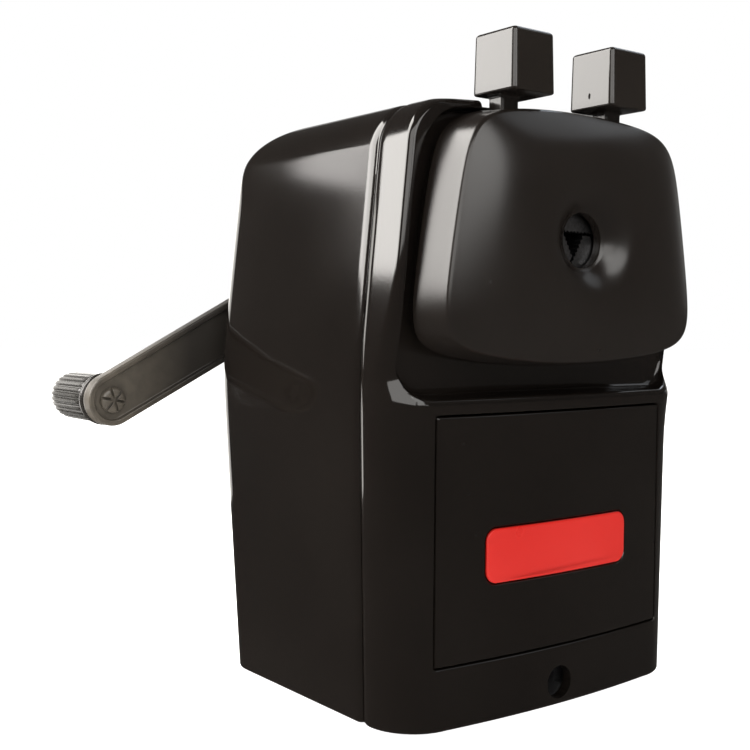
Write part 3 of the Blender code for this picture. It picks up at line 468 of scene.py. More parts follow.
def plan(z):
    """Outline of the housing at height z, in (x, y), starting at the left front corner."""
    side_in = rounding(H_TOP - z, 8.5)
    w = half_width(z) - side_in
    back = back_y(z) - rounding(H_TOP - z, 13.0)
    front = front_y(z)
    bow = front_bow(z)
    rc = corner_r(z) + side_in * 0.35
    rr = 5.0 + side_in * 0.6
    if z > H_TOP:
        w = min(w, CROWN_W * math.sqrt(max(1 - (z - H_TOP) / CROWN, 0.0)))
        rc, rr = min(rc, 0.6 * w), min(rr, 0.6 * w)
        back -= 0.9 * (CROWN_W - w)
    if z < 1.2:
        e = rounding(z - 0.4, 0.8)
        w, back, front = w - e, back - e, front + e
    half = w - rc
    pts = []
    for i in range(16):
        a = math.pi / 2 * i / 16
        x = -half - rc * math.cos(a)
        pts.append((x, front + rc - (rc - edge_in(x, z)) * math.sin(a)))
    for i in range(49):
        x = -half + 2 * half * i / 48
        pts.append((x, front + edge_in(x, z) - bow * (1 - (x / half) ** 2)))
    for i in range(15, -1, -1):
        a = math.pi / 2 * i / 16
        x = half + rc * math.cos(a)
        pts.append((x, front + rc - (rc - edge_in(x, z)) * math.sin(a)))
    y0, y1 = front + rc, back - rr
    for i in range(1, 8):
        pts.append((w, y0 + (y1 - y0) * i / 8))
    for i in range(13):
        a = math.pi / 2 * i / 12
        pts.append((w - rr + rr * math.cos(a), y1 + rr * math.sin(a)))
    for i in range(1, 12):
        pts.append(((w - rr) * (1 - 2 * i / 12), back))
    for i in range(12, -1, -1):
        a = math.pi / 2 * i / 12
        pts.append((-(w - rr) - rr * math.cos(a), y1 + rr * math.sin(a)))
    for i in range(7, 0, -1):
        pts.append((-w, y0 + (y1 - y0) * i / 8))
    return pts


def levels():
    zs = [0.4, 0.46, 0.6, 0.85, 1.2, 4, 10, 17, 24, 31, 38, 44, 49, 53, 56, 58]
    zs += [59.5 + 0.5 * i for i in range(19)] + [70 + 1.5 * i for i in range(1, 20)] + [100.2, 102, 103.6]
    zs += [H_TOP - 13.0 * (1 - math.sin(math.pi / 2 * i / 30)) for i in range(31)]
    zs += [H_TOP + CROWN * (1 - (1 - i / 14) ** 2) for i in range(1, 14)]
    return sorted(zs)


DRAFT_BACK, DRAFT_FRONT = 0.0085, 0.016


def seam_groove(y):
    """Depth of the soft groove where the front frame meets the rear shell."""
    d = abs(y - Y_SEAM)
    reach, depth = (2.1, 0.55) if y > Y_SEAM else (2.0, 0.5)
    return depth * (1 - d / reach) ** 2 if d < reach else 0.0


def outer_bm():
    bm = loft([[(x, y, z) for x, y in plan(z)] for z in levels()])
    for d in (-2.6, -2.0, -1.65, -1.3, -1.0, -0.7, -0.45, -0.22, 0.22, 0.45, 0.7, 1.0, 1.3, 1.65, 2.1, 2.7):
        bmesh.ops.bisect_plane(bm, geom=bm.verts[:] + bm.edges[:] + bm.faces[:], plane_co=(0, Y_SEAM + d, 0), plane_no=(0, 1, 0), dist=1e-5)
    bmesh.ops.recalc_face_normals(bm, faces=bm.faces)
    bm.normal_update()
    for v in bm.verts:
        y = v.co.y
        v.co -= v.normal * seam_groove(y)
        d = y - Y_SEAM
        v.co.x *= 1 - (DRAFT_BACK * d if d > 0 else -DRAFT_FRONT * d) / 40.0
    return bm


def inner_ring(z):
    side_in = rounding(H_TOP - WALL - z, 6.3)
    w = half_width(z) - WALL - 0.5 - side_in
    back = back_y(z) - WALL - 0.2 - rounding(H_TOP - WALL - z, 10.8)
    front = front_y(z) + WALL + rounding(H_TOP - WALL - z, 2.5)
    bow = front_bow(z)
    rc = max(corner_r(z) - WALL, 0.8) + side_in * 0.35
    rr = 2.8 + side_in * 0.6
    half = w - rc
    pts = []
    for i in range(8):
        a = math.pi / 2 * i / 8
        pts.append((-half - rc * math.cos(a), front + rc - rc * math.sin(a)))
    for i in range(17):
        x = -half + 2 * half * i / 16
        pts.append((x, front - bow * (1 - (x / half) ** 2)))
    for i in range(7, -1, -1):
        a = math.pi / 2 * i / 8
        pts.append((half + rc * math.cos(a), front + rc - rc * math.sin(a)))
    for i in range(7):
        a = math.pi / 2 * i / 6
        pts.append((w - rr + rr * math.cos(a), back - rr + rr * math.sin(a)))
    for i in range(6, -1, -1):
        a = math.pi / 2 * i / 6
        pts.append((-(w - rr) - rr * math.cos(a), back - rr + rr * math.sin(a)))
    return pts


def inner_levels(top):
    zs = [-3, 0.5, 20, 40, 58, 61, 64, 67, 76, 86, 96, 104.8]
    zs += [H_TOP - WALL - 10.8 * (1 - math.sin(math.pi / 2 * i / 10)) for i in range(1, 11)]
    return [z for z in zs if z < top] + ([top] if top < H_TOP - WALL else [])


rear = bm_object("rear_shell_body", outer_bm())
boolean(rear, loft([[(x, y, z) for x, y in inner_ring(z)] for z in inner_levels(200)]))
boolean(rear, box(-90, 90, -90, Y_SEAM + 0.16, -9, 200))
boolean(rear, cyl("Y", 4.6, 20, 50, (0, Z_AXIS)))
tidy(rear)
piece(rear, "shell", "housing", "shell_black", "rear_shell")


# front frame
def recess_half(z):
    return half_width(z) - 0.15 - 2.0


def through(points, n):
    """Smooth curve through points, n steps between neighbours."""
    out = []
    for i in range(len(points) - 1):
        p = [points[max(i - 1, 0)], points[i], points[i + 1], points[min(i + 2, len(points) - 1)]]
        for k in range(n):
            t = k / n
            out.append(tuple(
                0.5 * (2 * p[1][j] + (p[2][j] - p[0][j]) * t + (2 * p[0][j] - 5 * p[1][j] + 4 * p[2][j] - p[3][j]) * t * t
                       + (3 * p[1][j] - p[0][j] - 3 * p[2][j] + p[3][j]) * t ** 3) for j in (0, 1)))
    return out + [points[-1]]


def recess_outline():
    """Closed outline (x, z, outward x, outward z) of the head's recess."""
    low, r = Z_LEDGE, 6.0
    w = recess_half(low + r)
    left = [(-21.0 * i / 14, 116.3) for i in range(1, 14)]
    shoulder = [(-21.0, 116.3), (-25.0, 115.85), (-28.0, 114.6), (-30.0, 112.6), (-31.7, 109.9), (-32.9, 107.0), (-33.9, 103.5)]
    shoulder += [(-recess_half(z), z) for z in (98.5, 92.0)]
    left += through(shoulder, 6)
    left += [(-recess_half(z), z) for z in [89.4 - 2.6 * i for i in range(9)]]
    for i in range(0, 13):
        a = math.pi / 2 * i / 12
        left.append((-(w - r) - r * math.cos(a), low + r - r * math.sin(a)))
    left += [(-(w - r) * (1 - i / 24), low) for i in range(1, 24)]
    full = [(0.0, 116.3)] + left + [(0.0, low)] + [(-x, z) for x, z in reversed(left)]
    out = []
    n = len(full)
    for i, (x, z) in enumerate(full):
        a, b = full[(i - 1) % n], full[(i + 1) % n]
        tx, tz = b[0] - a[0], b[1] - a[1]
        d = math.hypot(tx, tz)
        out.append((x, z, tz / d, -tx / d))
    return out


def surface_y(x, z):
    """y of the front surface in front of a point of the recess or the drawer."""
    w = half_width(z) - rounding(H_TOP - z, 8.5)
    rc = corner_r(z)
    half = w - rc
    y = front_y(z) + edge_in(x, z)
    if abs(x) <= half:
        return y - front_bow(z) * (1 - (x / half) ** 2)
    return y + rounding(w - abs(x), rc)


def recess_cutter():
    outline = recess_outline()
    rings = []
    # mouth, rounded over the rim
    for dy, out in [(-30, 1.6), (-0.03, 1.3)] + [(1 - math.cos(a), 1 - math.sin(a)) for a in [math.pi / 2 * k / 7 for k in range(0, 8)]]:
        ring = []
        for x, z, ox, oz in outline:
            # ox, oz point into the wall; the mouth follows the surface
            r_edge = 0.85 - 0.5 * smooth((z - 108.0) / 7.0)
            ys = surface_y(max(min(x, 36.5), -36.5), min(z, 112.0))
            ring.append((x + ox * out * r_edge, min(ys, -28.2) + (dy * r_edge if dy > -1 else dy), z + oz * out * r_edge))
        rings.append(ring)
    for k in range(0, 9):
        a = math.pi / 2 * k / 8
        ring = []
        for x, z, ox, oz in outline:
            low = smooth((Z_LEDGE + 7.0 - z) / 7.0)
            r = 0.9 + 1.5 * low
            inward = r * (1 - math.cos(a))
            ring.append((x - ox * inward, Y_FLOOR - r + r * math.sin(a), z - oz * inward))
        rings.append(ring)
    return loft(rings)


def rounded_square(x0, x1, y0, y1, r, z, n=7):
    pts = []
    for cx, cy, a0 in ((x1 - r, y1 - r, 0), (x0 + r, y1 - r, 90), (x0 + r, y0 + r, 180), (x1 - r, y0 + r, 270)):
        for i in range(n + 1):
            a = math.radians(a0 + 90 * i / n)
            pts.append((cx + r * math.cos(a), cy + r * math.sin(a), z))
    return pts


def rounded_mouth(x0, x1, z0, z1, r_corner, r_edge, y_end, n=26):
    """Cutter for an opening in the bowed front, with a small round over its edge."""
    pts = []
    for i in range(n + 1):
        pts.append((x0 + r_corner + (x1 - x0 - 2 * r_corner) * i / n, z0, 0, -1))
    for cx, cz, a0 in ((x1 - r_corner, z0 + r_corner, -90), (x1 - r_corner, z1 - r_corner, 0), (x0 + r_corner, z1 - r_corner, 90), (x0 + r_corner, z0 + r_corner, 180)):
        for i in range(1, 5) if a0 != 180 else range(1, 4):
            a = math.radians(a0 + 90 * i / 4)
            pts.append((cx + r_corner * math.cos(a), cz + r_corner * math.sin(a), math.cos(a), math.sin(a)))
        if a0 == -90:
            for i in range(1, 9):
                pts.append((x1, z0 + r_corner + (z1 - z0 - 2 * r_corner) * i / 9, 1, 0))
        if a0 == 0:
            for i in range(1, n + 1):
                pts.append((x1 - r_corner - (x1 - x0 - 2 * r_corner) * i / (n + 1), z1, 0, 1))
        if a0 == 90:
            for i in range(1, 9):
                pts.append((x0, z1 - r_corner - (z1 - z0 - 2 * r_corner) * i / 9, -1, 0))
    rings = []
    for dy, out in [(-30, r_edge + 0.3), (-0.02, r_edge + 0.15)] + [(r_edge * (1 - math.cos(a)), r_edge * (1 - math.sin(a))) for a in [math.pi / 2 * k / 4 for k in range(5)]]:
        rings.append([(x + ox * out, surface_y(x, z) + dy, z + oz * out) for x, z, ox, oz in pts])
    rings.append([(x, y_end, z) for x, z, ox, oz in pts])
    return loft(rings)


frame_obj = bm_object("front_frame_body", outer_bm())
boolean(frame_obj, box(-90, 90, Y_SEAM - 0.16, 90, -9, 200))
boolean(frame_obj, recess_cutter())
notch = [rounded_square(-NOTCH - e, NOTCH + e, -70.0, Y_FLOOR, 0.3, z, 4) for z, e in ((112.0, 0.0), (117.6, 0.0), (118.0, 0.06), (118.25, 0.2), (118.45, 0.5), (125.0, 0.6))]
boolean(frame_obj, loft(notch))
boolean(frame_obj, box(-NOTCH, NOTCH, -27.0, -21.0, 117.0, 125.0))
boolean(frame_obj, loft([[(x, y, z) for x, y in inner_ring(z)] for z in inner_levels(59.6)]))
boolean(frame_obj, box(-37.0, 37.0, -24.0, -15.0, 50.0, 67.0))
boolean(frame_obj, loft([[(x, max(y, -24.0), z) for x, y in inner_ring(z)] for z in [66.5] + [z for z in inner_levels(200) if z > 67]]))
boolean(frame_obj, rounded_mouth(-31.3, 31.3, 12.3, 59.3, 0.8, 0.45, -20.0))
boolean(frame_obj, cyl("Y", 3.3, -60, -25, (0, 5.0)))
boolean(frame_obj, cyl("Y", 7.5, -40, -20, (0, Z_AXIS)))
for s in (-1, 1):
    boolean(frame_obj, cyl("Y", 4.3, -40, -20, (s * ROD_X, ROD_Z)))
tidy(frame_obj)
piece(frame_obj, "shell", "housing", "shell_black", "front_frame")

# ---- drawer face and badge -------------------------------------------------------------------
# The face is built directly: a bowed sheet of its own with rounded edges and a flat back.
def door_bm():
    x1, z0, z1, r = 31.0, 12.6, 59.0, 0.5
    xs = [-x1 + d for d in reversed(arc_steps(r, 5))] + [-x1 + r + (2 * x1 - 2 * r) * i / 72 for i in range(1, 72)] + [x1 - d for d in arc_steps(r, 5)]
    zs = [z0 + d for d in reversed(arc_steps(r, 5))] + [z0 + r + (z1 - z0 - 2 * r) * i / 40 for i in range(1, 40)] + [z1 - d for d in arc_steps(r, 5)]
    bm = bmesh.new()
    grid = []
    for z in zs:
        row = []
        for x in xs:
            e = rounding(x1 - abs(x), r)
            g = rounding(min(z - z0, z1 - z), r)
            drop = min(math.hypot(e, g), r)
            row.append(bm.verts.new((x, surface_y(x, z) + drop, z)))
        grid.append(row)
    for a, b in zip(grid, grid[1:]):
        for i in range(len(xs) - 1):
            bm.faces.new((a[i], a[i + 1], b[i + 1], b[i]))
    rim = [grid[0][i] for i in range(len(xs))] + [grid[j][-1] for j in range(1, len(zs))]
    rim += [grid[-1][i] for i in range(len(xs) - 2, -1, -1)] + [grid[j][0] for j in range(len(zs) - 2, 0, -1)]
    back = [bm.verts.new((v.co.x, -29.2, v.co.z)) for v in rim]
    n = len(rim)
    for i in range(n):
        bm.faces.new((rim[i], rim[(i + 1) % n], back[(i + 1) % n], back[i]))
    bm.faces.new(back)
    return bm


door = bm_object("drawer_face", door_bm())
BADGE_X, BADGE_Z, BADGE_R, BADGE_ZC = 19.4, 5.2, 2.4, 32.2


def pill(half_x, half_z, radius, zc, n=10):
    """Rounded rectangle outline in (x, z)."""
    pts = []
    for cx, cz, a0 in ((half_x - radius, half_z - radius, 0), (-half_x + radius, half_z - radius, 90), (-half_x + radius, -half_z + radius, 180), (half_x - radius, -half_z + radius, 270)):
        for i in range(n + 1):
            a = math.radians(a0 + 90 * i / n)
            pts.append((cx + radius * math.cos(a), zc + cz + radius * math.sin(a)))
        if a0 in (0, 180):
            x_from, x_to = pts[-1][0], -pts[-1][0]
            for i in range(1, 24):
                pts.append((x_from + (x_to - x_from) * i / 24, pts[-1][1]))
    return pts


def bowed(shape, depth_pairs):
    """Closed solid from (shrink, y offset) pairs, following the drawer's bow."""
    rings = []
    for shrink, dy in depth_pairs:
        rings.append([(x, surface_y(x, 32.0) + dy, z) for x, z in shape(shrink)])
    return loft(rings)


boolean(door, bowed(lambda s: pill(BADGE_X + 0.3 - s, BADGE_Z + 0.3 - s, BADGE_R + 0.3 - s, BADGE_ZC), [(-0.35, -5), (-0.2, -0.02), (-0.1, 0.06), (0.0, 0.2), (0.0, 0.62)]))
tidy(door)
piece(door, "shell", "drawer", "shell_black", "drawer_front")


def badge_bm():
    rings = []
    for shrink, dy in ((0.0, 0.3), (0.0, -0.05), (0.08, -0.17), (0.25, -0.24), (0.5, -0.26)):
        rings.append([(x, surface_y(x, 32.0) + dy, z) for x, z in pill(BADGE_X - shrink, BADGE_Z - shrink, BADGE_R - shrink, BADGE_ZC)])
    return loft(rings)


badge = bm_object("red_badge", badge_bm())
tidy(badge)
piece(badge, "red", "drawer", "badge_red", "drawer_badge")

# ---- sliding head ----------------------------------------------------------------------------
def head_radius(psi, grow=0.0):
    """Distance from the pencil axis to the head's front outline in direction psi."""
    c, s = math.cos(psi), math.sin(psi)
    # sides: |x| = 31.90 - 0.1686 z - 0.0014 z^2, solved along the ray
    q, b, c0 = 0.0014 * s * s, abs(c) + 0.16864 * s, 31.9044 + grow
    side = (-b + math.sqrt(b * b + 4 * q * c0)) / (2 * q) if q > 1e-9 else c0 / b
    reach, bend = (116.5 - Z_AXIS + grow, 0.0028) if s > 0 else (Z_AXIS - 68.5 + grow, 0.0030)
    k = bend * c * c
    cap = reach / abs(s) if k < 1e-9 else (-abs(s) + math.sqrt(s * s + 4 * reach * k)) / (2 * k)
    p = 9.0
    return (side ** -p + cap ** -p) ** (-1 / p)


HEAD_N = 256
HEAD_R = [head_radius(2 * math.pi * i / HEAD_N) for i in range(HEAD_N)]


def head_ring(y, grow=0.0, blend=1.0, radius=0.0, flare=0.0):
    """Ring of the head: blend 1 is its outline plus grow, and flare widens its two sides further."""
    pts = []
    for i in range(HEAD_N):
        psi = 2 * math.pi * i / HEAD_N
        out = grow + flare * smooth((abs(math.cos(psi)) - 0.72) / 0.2)
        r = radius + (HEAD_R[i] + out - radius) * blend if blend else radius
        pts.append((r * math.cos(psi), y, Z_AXIS + r * math.sin(psi)))
    return pts


def dome_y(b):
    return Y_CREASE + (Y_DOME - Y_CREASE) * (1 - b ** 2.2)


def face_rings():
    rings = [head_ring(-35.3, 0, 0, R_HOLE), head_ring(-36.95, 0, 0, R_HOLE)]
    for k in range(1, 5):
        a = math.pi / 2 * k / 4
        rings.append(head_ring(-36.95 - 0.35 * math.sin(a), 0, 0, R_HOLE + 0.35 * (1 - math.cos(a))))
    r0 = R_HOLE + 0.35
    for k in range(1, 19):
        t = k / 18
        r = r0 + (13.0 - r0) * t
        rings.append(head_ring(Y_HOLE - (Y_HOLE - Y_DOME) * (1 - (1 - t) ** 2), 0, 0, r))
    for k in range(1, 25):
        b = 0.955 * k / 24
        rings.append(head_ring(dome_y(b), 0, b, 13.0))
    y0 = dome_y(0.955)
    for k in range(1, 10):
        t = k / 9
        inset = (1 - t) ** 2 * -0.8 + t * t * 0.05
        y = (1 - t) ** 2 * y0 + 2 * t * (1 - t) * (Y_CREASE - 0.02) + t * t * (Y_CREASE + 0.85)
        rings.append(head_ring(y, inset))
    for k in range(1, 9):
        t = k / 8
        rings.append(head_ring(Y_CREASE + 0.85 + (-28.62 - Y_CREASE - 0.85) * t, 0.05 + 0.72 * t, 1, 0, 0.72 * t))
    rings.append(head_ring(-28.5, 0.7, 1, 0, 0.72))
    rings.append(head_ring(-28.45, 0.5, 1, 0, 0.72))
    rings.append(head_ring(-28.4, 0.1))
    rings.append(head_ring(Y_HEAD_BACK, 0.1))
    rings.append(head_ring(Y_HEAD_BACK, -1.2))
    rings.append(head_ring(-34.2, -2.0))
    for b in (0.75, 0.45, 0.15):
        rings.append(head_ring(dome_y(b) + 2.0, -2.0, b, 13.0))
    rings.append(head_ring(-38.0, 0, 0, 11.5))
    rings.append(head_ring(-36.4, 0, 0, 8.8))
    rings.append(head_ring(-35.3, 0, 0, 7.6))
    return rings


face = bm_object("sliding_face", loft(face_rings(), closed=True))
for s in (-1, 1):
    at = (s * 21.0, 76.0)
    boolean(face, cyl("Y", 3.3, -37.0, -29.2, at, 28), "UNION")
    boolean(face, cyl("Y", 1.4, -34.0, -28.0, at, 24))
    boolean(face, box(min(s * 7.7, s * 17.1), max(s * 7.7, s * 17.1), -32.4, -20.0, 104.0, 125.0))
tidy(face, 40.0)
piece(face, "head", "head", "head_black", "faceplate")


# ---- finger tabs -----------------------------------------------------------------------------
def finger_tab(name, s, body, cad):
    z0, z1 = 119.0, 130.5
    a, b = sorted((s * 7.8, s * 18.7))
    rings = []
    for k in range(5):
        g = math.pi / 2 * k / 4
        rings.append((z0 + 0.4 * (1 - math.cos(g)), 0.4 * (1 - math.sin(g))))
    for k in range(1, 7):
        rings.append((z0 + 0.4 + (z1 - 0.8 - z0 - 0.4) * k / 6, 0.24 * k / 6))
    for k in range(1, 8):
        g = math.pi / 2 * k / 7
        rings.append((z1 - 0.8 * (1 - math.sin(g)), 0.24 + 0.8 * (1 - math.cos(g))))
    obj = bm_object(name, loft([rounded_square(a + e, b - e, -37.3 + e, -25.9 - e, max(1.0 - e * 0.6, 0.3), z) for z, e in rings]))
    a, b = sorted((s * 12.2, s * 16.6))
    neck = [rounded_square(a - e, b + e, -32.0 - e, -28.2 + e, 0.5, z) for z, e in ((112.5, -0.2), (112.7, 0.0), (118.3, 0.0), (118.7, 0.12), (118.95, 0.4), (119.6, 0.4))]
    boolean(obj, loft(neck), "UNION")
    a, b = sorted((s * 13.0, s * 15.8))
    boolean(obj, box(a, b, -31.2, -29.0, 100.0, 126.5))
    if s > 0:
        # mark of a moulding pin on the outer flank
        mark = [(7.8 + dx, -31.4 + 0.28 * math.cos(2 * math.pi * i / 20) * k, 121.5 + 0.55 * math.sin(2 * math.pi * i / 20) * k) for dx, k in ((-1.0, 1.2), (0.02, 1.15), (0.1, 1.0), (0.35, 0.9)) for i in range(20)]
        boolean(obj, loft([mark[20 * j:20 * j + 20] for j in range(4)]))
    tidy(obj)
    piece(obj, "tab", body, "shell_black", cad)
    return obj


finger_tab("left_finger_tab", -1, "left_squeezer", "left_tab")
finger_tab("right_finger_tab", 1, "right_squeezer", "right_tab")


# ---- crank arm, knob and its snap pin ---------------------------------------------------------
def arm_outline(r_hub, r_end, n_hub=48, n_end=40, n_side=18):
    tilt = math.asin((r_hub - r_end) / ARM_L)
    pts = []
    for i in range(n_hub + 1):
        a = ARM_ANGLE + math.pi / 2 - tilt + (math.pi + 2 * tilt) * i / n_hub
        pts.append((r_hub * math.cos(a), Z_AXIS + r_hub * math.sin(a)))
    end = []
    for i in range(n_end + 1):
        a = ARM_ANGLE - math.pi / 2 + tilt + (math.pi - 2 * tilt) * i / n_end
        end.append((KNOB_AT[0] + r_end * math.cos(a), KNOB_AT[1] + r_end * math.sin(a)))
    p, q = pts[-1], end[0]
    side = [(p[0] + (q[0] - p[0]) * i / n_side, p[1] + (q[1] - p[1]) * i / n_side) for i in range(1, n_side)]
    p, q = end[-1], pts[0]
    back = [(p[0] + (q[0] - p[0]) * i / n_side, p[1] + (q[1] - p[1]) * i / n_side) for i in range(1, n_side)]
    return pts + side + end + back


def slab(r_hub, r_end, profile):
    """Solid over the arm's outline; profile is (shrink, y)."""
    return loft([[(x, y, z) for x, z in arm_outline(r_hub - e, r_end - e)] for e, y in profile])


arm_profile = [(0.35 * (1 - math.sin(math.pi / 2 * k / 4)), 37.0 + 0.35 * (1 - math.cos(math.pi / 2 * k / 4))) for k in range(5)]
arm_profile += [(0.0, 38.2), (0.0, 39.4)]
arm_profile += [(0.7 * (1 - math.cos(math.pi / 2 * k / 6)), 39.9 + 0.7 * math.sin(math.pi / 2 * k / 6)) for k in range(7)]
arm = bm_object("crank_arm_body", slab(6.1, 5.5, arm_profile))
pocket = [(-0.25, 30.0), (-0.25, 36.95)] + [(-0.25 + 0.25 * math.sin(math.pi / 2 * k / 4), 37.25 - 0.25 * math.cos(math.pi / 2 * k / 4)) for k in range(5)]
pocket += [(0.35 * (1 - math.cos(math.pi / 2 * k / 4)), 37.75 + 0.35 * math.sin(math.pi / 2 * k / 4)) for k in range(5)]
boolean(arm, slab(4.9, 4.3, pocket))
hub = [(0.0, 35.2), (8.2, 35.2), (8.45, 35.27), (8.6, 35.6), (8.6, 42.4), (8.5, 42.75), (8.2, 42.95), (7.8, 43.0), (0.0, 43.0)]
boolean(arm, turned(hub, (0, Z_AXIS), 96), "UNION")
for r, a, b, at in ((4.3, 30.0, 40.0, (0, Z_AXIS)), (1.9, 30.0, 50.0, (0, Z_AXIS)), (4.1, 41.7, 50.0, (0, Z_AXIS)), (2.3, 30.0, 50.0, KNOB_AT)):
    boolean(arm, cyl("Y", r, a, b, at, 48))
tidy(arm)
piece(arm, "arm", "crank", "grey_black", "crank_arm")

RIBS = 24


def knob_ring(y, scale=1.0, ribs=1.0, radius=5.2, n=10):
    """Ring of the knob: rounded ribs on a core, fading to a plain circle where ribs is 0."""
    pts = []
    for i in range(RIBS * n):
        a = 2 * math.pi * i / (RIBS * n)
        t = abs(((i / n) % 1.0) - 0.5) * 2
        dip = 0.42 * smooth((t - 0.38) / 0.5)
        r = (radius - dip * ribs) * scale
        pts.append((KNOB_AT[0] + r * math.cos(a), y, KNOB_AT[1] + r * math.sin(a)))
    return pts


rows = [knob_ring(40.9, 1, 0, 5.05), knob_ring(40.95, 1, 0, 5.3), knob_ring(41.15, 1, 0, 5.5), knob_ring(41.4, 1, 0, 5.6), knob_ring(42.0, 1, 0, 5.6)]
rows += [knob_ring(42.3, 1, 0, 5.52), knob_ring(42.5, 1, 0, 5.35), knob_ring(42.75, 1, 0, 5.0), knob_ring(43.0, 1, 0, 4.8), knob_ring(43.25, 1, 0, 4.75)]
rows += [knob_ring(43.4, 1, 0, 4.78), knob_ring(43.55, 1, 0.5, 5.05), knob_ring(43.8, 1, 0.9, 5.16), knob_ring(44.2, 1, 1.0, 5.2)]
rows += [knob_ring(44.2 + (57.4 - 44.2) * k / 8, 1 - 0.012 * k / 8, 1.0) for k in range(1, 9)]
for k in range(1, 9):
    g = math.pi / 2 * k / 8.4
    rows.append(knob_ring(57.4 + 3.0 * math.sin(g), 0.988 - 0.42 * (1 - math.cos(g)), 1.0 - 0.75 * k / 8))
rows.append(knob_ring(60.4, 0.45, 0.1))
grip = bm_object("ribbed_knob", loft(rows))
boolean(grip, cyl("Y", 2.2, 30, 53.0, KNOB_AT, 48))
tidy(grip)
piece(grip, "knob", "crank_knob", "grey_black", "knob")

pin_profile = [(0.0, 36.62), (0.7, 36.6), (1.5, 36.56), (2.0, 36.6), (2.4, 36.72), (2.68, 36.98), (2.75, 37.25), (2.75, 37.65), (2.65, 37.8), (1.9, 37.8), (1.9, 52.3), (1.6, 52.6), (0.0, 52.6)]
pin = bm_object("snap_pin", turned(pin_profile, KNOB_AT, 72))
for i in range(3):
    blade = box(-3.5, 3.5, 36.0, 37.45, -0.3, 0.3)
    bmesh.ops.rotate(blade, cent=(0, 0, 0), matrix=Matrix.Rotation(math.radians(60 * i + 12), 3, "Y"), verts=blade.verts)
    bmesh.ops.translate(blade, vec=(KNOB_AT[0], 0, KNOB_AT[1]), verts=blade.verts)
    boolean(pin, blade)
tidy(pin)
bevel(pin, 0.12, 2, 40.0)
tidy(pin)
piece(pin, "arm", "crank_knob", "grey_black", "knob_snap_pin")


# ---- springs, pad and drawer tray --------------------------------------------------------------
def coil(name, start, end, turns, radius, wire, axis, per_turn=28, sides=8):
    """Compression spring with closed end coils, from start to end along an axis."""
    s, e = Vector(start), Vector(end)
    along = (e - s).normalized()
    u = Vector((0, 0, 1)).cross(along).normalized()
    v = along.cross(u)
    length = (e - s).length
    total = turns * per_turn
    centres = []
    for i in range(total + 1):
        t = i / per_turn
        # the first and last turn lie close together
        lead = interp(t, (0, 1.0, turns - 1.0, turns), (wire, 3.2 * wire, length - 3.2 * wire, length - wire))
        a = 2 * math.pi * t
        centres.append(s + along * lead + (u * math.cos(a) + v * math.sin(a)) * radius)
    rings = []
    for i, c in enumerate(centres):
        t = (centres[min(i + 1, total)] - centres[max(i - 1, 0)]).normalized()
        out = (c - s) - along * (c - s).dot(along)
        out.normalize()
        side = t.cross(out).normalized()
        rings.append([tuple(c + (out * math.cos(2 * math.pi * k / sides) + side * math.sin(2 * math.pi * k / sides)) * wire) for k in range(sides)])
    return bm_object(name, loft(rings), 60.0)


for s, side in ((-1, "left"), (1, "right")):
    spring = coil("drive_spring_" + side, (s * ROD_X, -17.4, ROD_Z), (s * ROD_X, 19.7, ROD_Z), 9, 2.95, 0.38, "Y")
    piece(spring, "steel", "housing", "steel", "feed_spring_" + side)
    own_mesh(spring)
spring = coil("squeeze_spring", (-6.4, -31.05, Z_AXIS + 17.0), (6.4, -31.05, Z_AXIS + 17.0), 6, 1.2, 0.24, "X", 24, 8)
piece(spring, "steel", "head", "steel", "tab_spring")
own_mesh(spring)


pad_ring = [(x * 0.872, (y - 0.8) * 0.845 + 0.8) for x, y in plan(2.0)]
pad = bm_object("rubber_pad", loft([[(x * k, y * k, z) for x, y in pad_ring] for z, k in ((0.0, 0.985), (0.12, 0.996), (0.3, 1.0), (1.0, 1.0))]))
tidy(pad)
piece(pad, "rubber", "housing", "pad_rubber", "anti_slip_pad")

tray = bm_object("tray_body", loft([
    [(x, y, z) for x, y, _ in rounded_square(-30.2 + e, 30.2 - e, -28.9 + e, 24.0 - e, 1.2, 0)] for z, e in ((12.65, 0.5), (12.8, 0.15), (13.15, 0.0), (51.75, 0.0), (52.0, 0.25))
]))
boolean(tray, loft([
    [(x, y, z) for x, y, _ in rounded_square(-28.6 + e, 28.6 - e, -27.3 + e, 22.4 - e, 2.0, 0)] for z, e in ((14.3, 1.2), (14.45, 0.6), (14.8, 0.2), (15.4, 0.0), (51.7, 0.0), (51.9, -0.15), (60.0, -0.25))
]))
tidy(tray)
piece(tray, "tray", "drawer", "grey_black", "drawer_tray")


# ---- stage, light and camera -----------------------------------------------------------------
def area(name, azimuth, elevation, distance, width, height, power, target=(0, 0, 95), colour=(1, 1, 1), roll=0.0):
    """A softbox seen from the object at that azimuth (0 towards +Y, positive towards -X) and elevation."""
    a, e = math.radians(azimuth), math.radians(elevation)
    d = Vector((-math.sin(a) * math.cos(e), math.cos(a) * math.cos(e), math.sin(e)))
    light = bpy.data.lights.new(name, "AREA")
    light.shape = "RECTANGLE"
    light.size, light.size_y = width, height
    light.energy = power
    light.color = colour
    obj = bpy.data.objects.new(name, light)
    scene.collection.objects.link(obj)
    t = Vector(target) * MM
    obj.location = t + d * distance
    obj.rotation_euler = (obj.location - t).to_track_quat("Z", "Y").to_euler()
    obj.visible_camera = False
    return obj


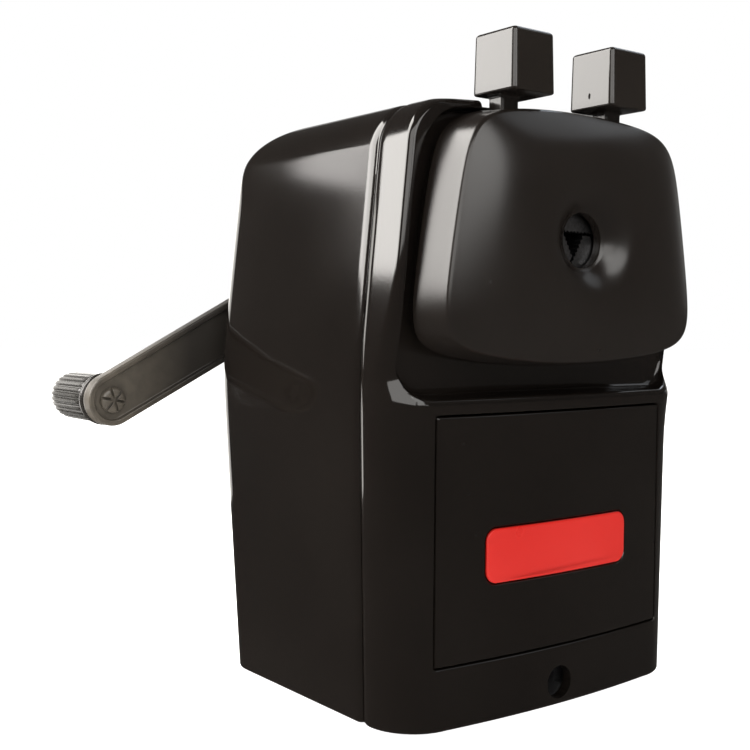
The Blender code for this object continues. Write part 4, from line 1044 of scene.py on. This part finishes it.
area("softbox_left", 54.8, 33.8, 1.1, 0.70, 1.00, 25.6, colour=(1.0, 0.97, 0.93))
area("side_patch", 32.6, 15.9, 1.1, 0.085, 0.10, 0.15, target=(-36, -7, 107), colour=(1.0, 0.97, 0.94))
area("front_fill", -178, 26, 1.3, 0.62, 0.74, 5.6, colour=(1.0, 0.985, 0.96))
area("left_fill", 136, 25, 1.25, 1.35, 0.66, 9.5, colour=(1.0, 0.98, 0.95))
area("overhead", -108, 43, 1.3, 1.1, 0.40, 1.1, colour=(0.9, 0.95, 1.0))
area("high_right", -76, 44, 1.2, 0.30, 0.20, 0.7, colour=(0.80, 0.88, 1.0))
area("backdrop", -50, 12, 1.5, 2.2, 0.70, 1.9, colour=(1.0, 0.99, 0.97))
area("rear_strip", 0, 0.8, 0.2, 0.19, 0.143, 0.24, target=(-36, 33, 70), colour=(1.0, 0.97, 0.92))

bm = bmesh.new()
bmesh.ops.create_circle(bm, cap_ends=True, radius=3.0, segments=96)
floor = bm_object("floor", bm, scale=1.0)
f = Net("pale_floor")
f.set("Base Color", f.mix(f.remap(f.noise(3.0, 4.0), 0.3, 0.7, 0.0, 1.0), (0.93, 0.93, 0.93), (0.95, 0.95, 0.95)))
f.set("Roughness", 0.9)
f.set("Specular IOR Level", 0.1)
f.set("Emission Color", (1.0, 1.0, 1.0))
f.set("Emission Strength", 0.97)
floor.data.materials.append(f.mat)
floor.visible_glossy = False

world = bpy.data.worlds.new("studio")
scene.world = world
world.use_nodes = True
wt = world.node_tree
wt.nodes.clear()
w_out = wt.nodes.new("ShaderNodeOutputWorld")
w_mix = wt.nodes.new("ShaderNodeMixShader")
w_path = wt.nodes.new("ShaderNodeLightPath")
w_dim, w_bright = wt.nodes.new("ShaderNodeBackground"), wt.nodes.new("ShaderNodeBackground")
w_dim.inputs["Color"].default_value = (1.0, 0.94, 0.88, 1)
w_dim.inputs["Strength"].default_value = 0.08
w_bright.inputs["Color"].default_value = (1, 1, 1, 1)
w_bright.inputs["Strength"].default_value = 1.0
wt.links.new(w_path.outputs["Is Camera Ray"], w_mix.inputs["Fac"])
wt.links.new(w_dim.outputs[0], w_mix.inputs[1])
wt.links.new(w_bright.outputs[0], w_mix.inputs[2])
wt.links.new(w_mix.outputs[0], w_out.inputs["Surface"])

YAW, PITCH, ROLL = 0.6553, -0.0458, 0.005
fw = Vector((math.sin(YAW) * math.cos(PITCH), math.cos(YAW) * math.cos(PITCH), math.sin(PITCH)))
r0 = Vector((math.cos(YAW), -math.sin(YAW), 0.0))
u0 = r0.cross(fw)
right = r0 * math.cos(ROLL) + u0 * math.sin(ROLL)
up = -r0 * math.sin(ROLL) + u0 * math.cos(ROLL)
cam_data = bpy.data.cameras.new("camera")
cam_data.sensor_width = 36.0
cam_data.lens = 1167.045 / 750 * 36
cam_data.clip_start = 0.01
cam = bpy.data.objects.new("camera", cam_data)
scene.collection.objects.link(cam)
m = Matrix((right, up, -fw)).transposed().to_4x4()
m.translation = Vector((-0.168999, -0.191821, 0.0764265))
cam.matrix_world = m
scene.camera = cam
scene.view_settings.view_transform = "Standard"
scene.view_settings.look = "None"
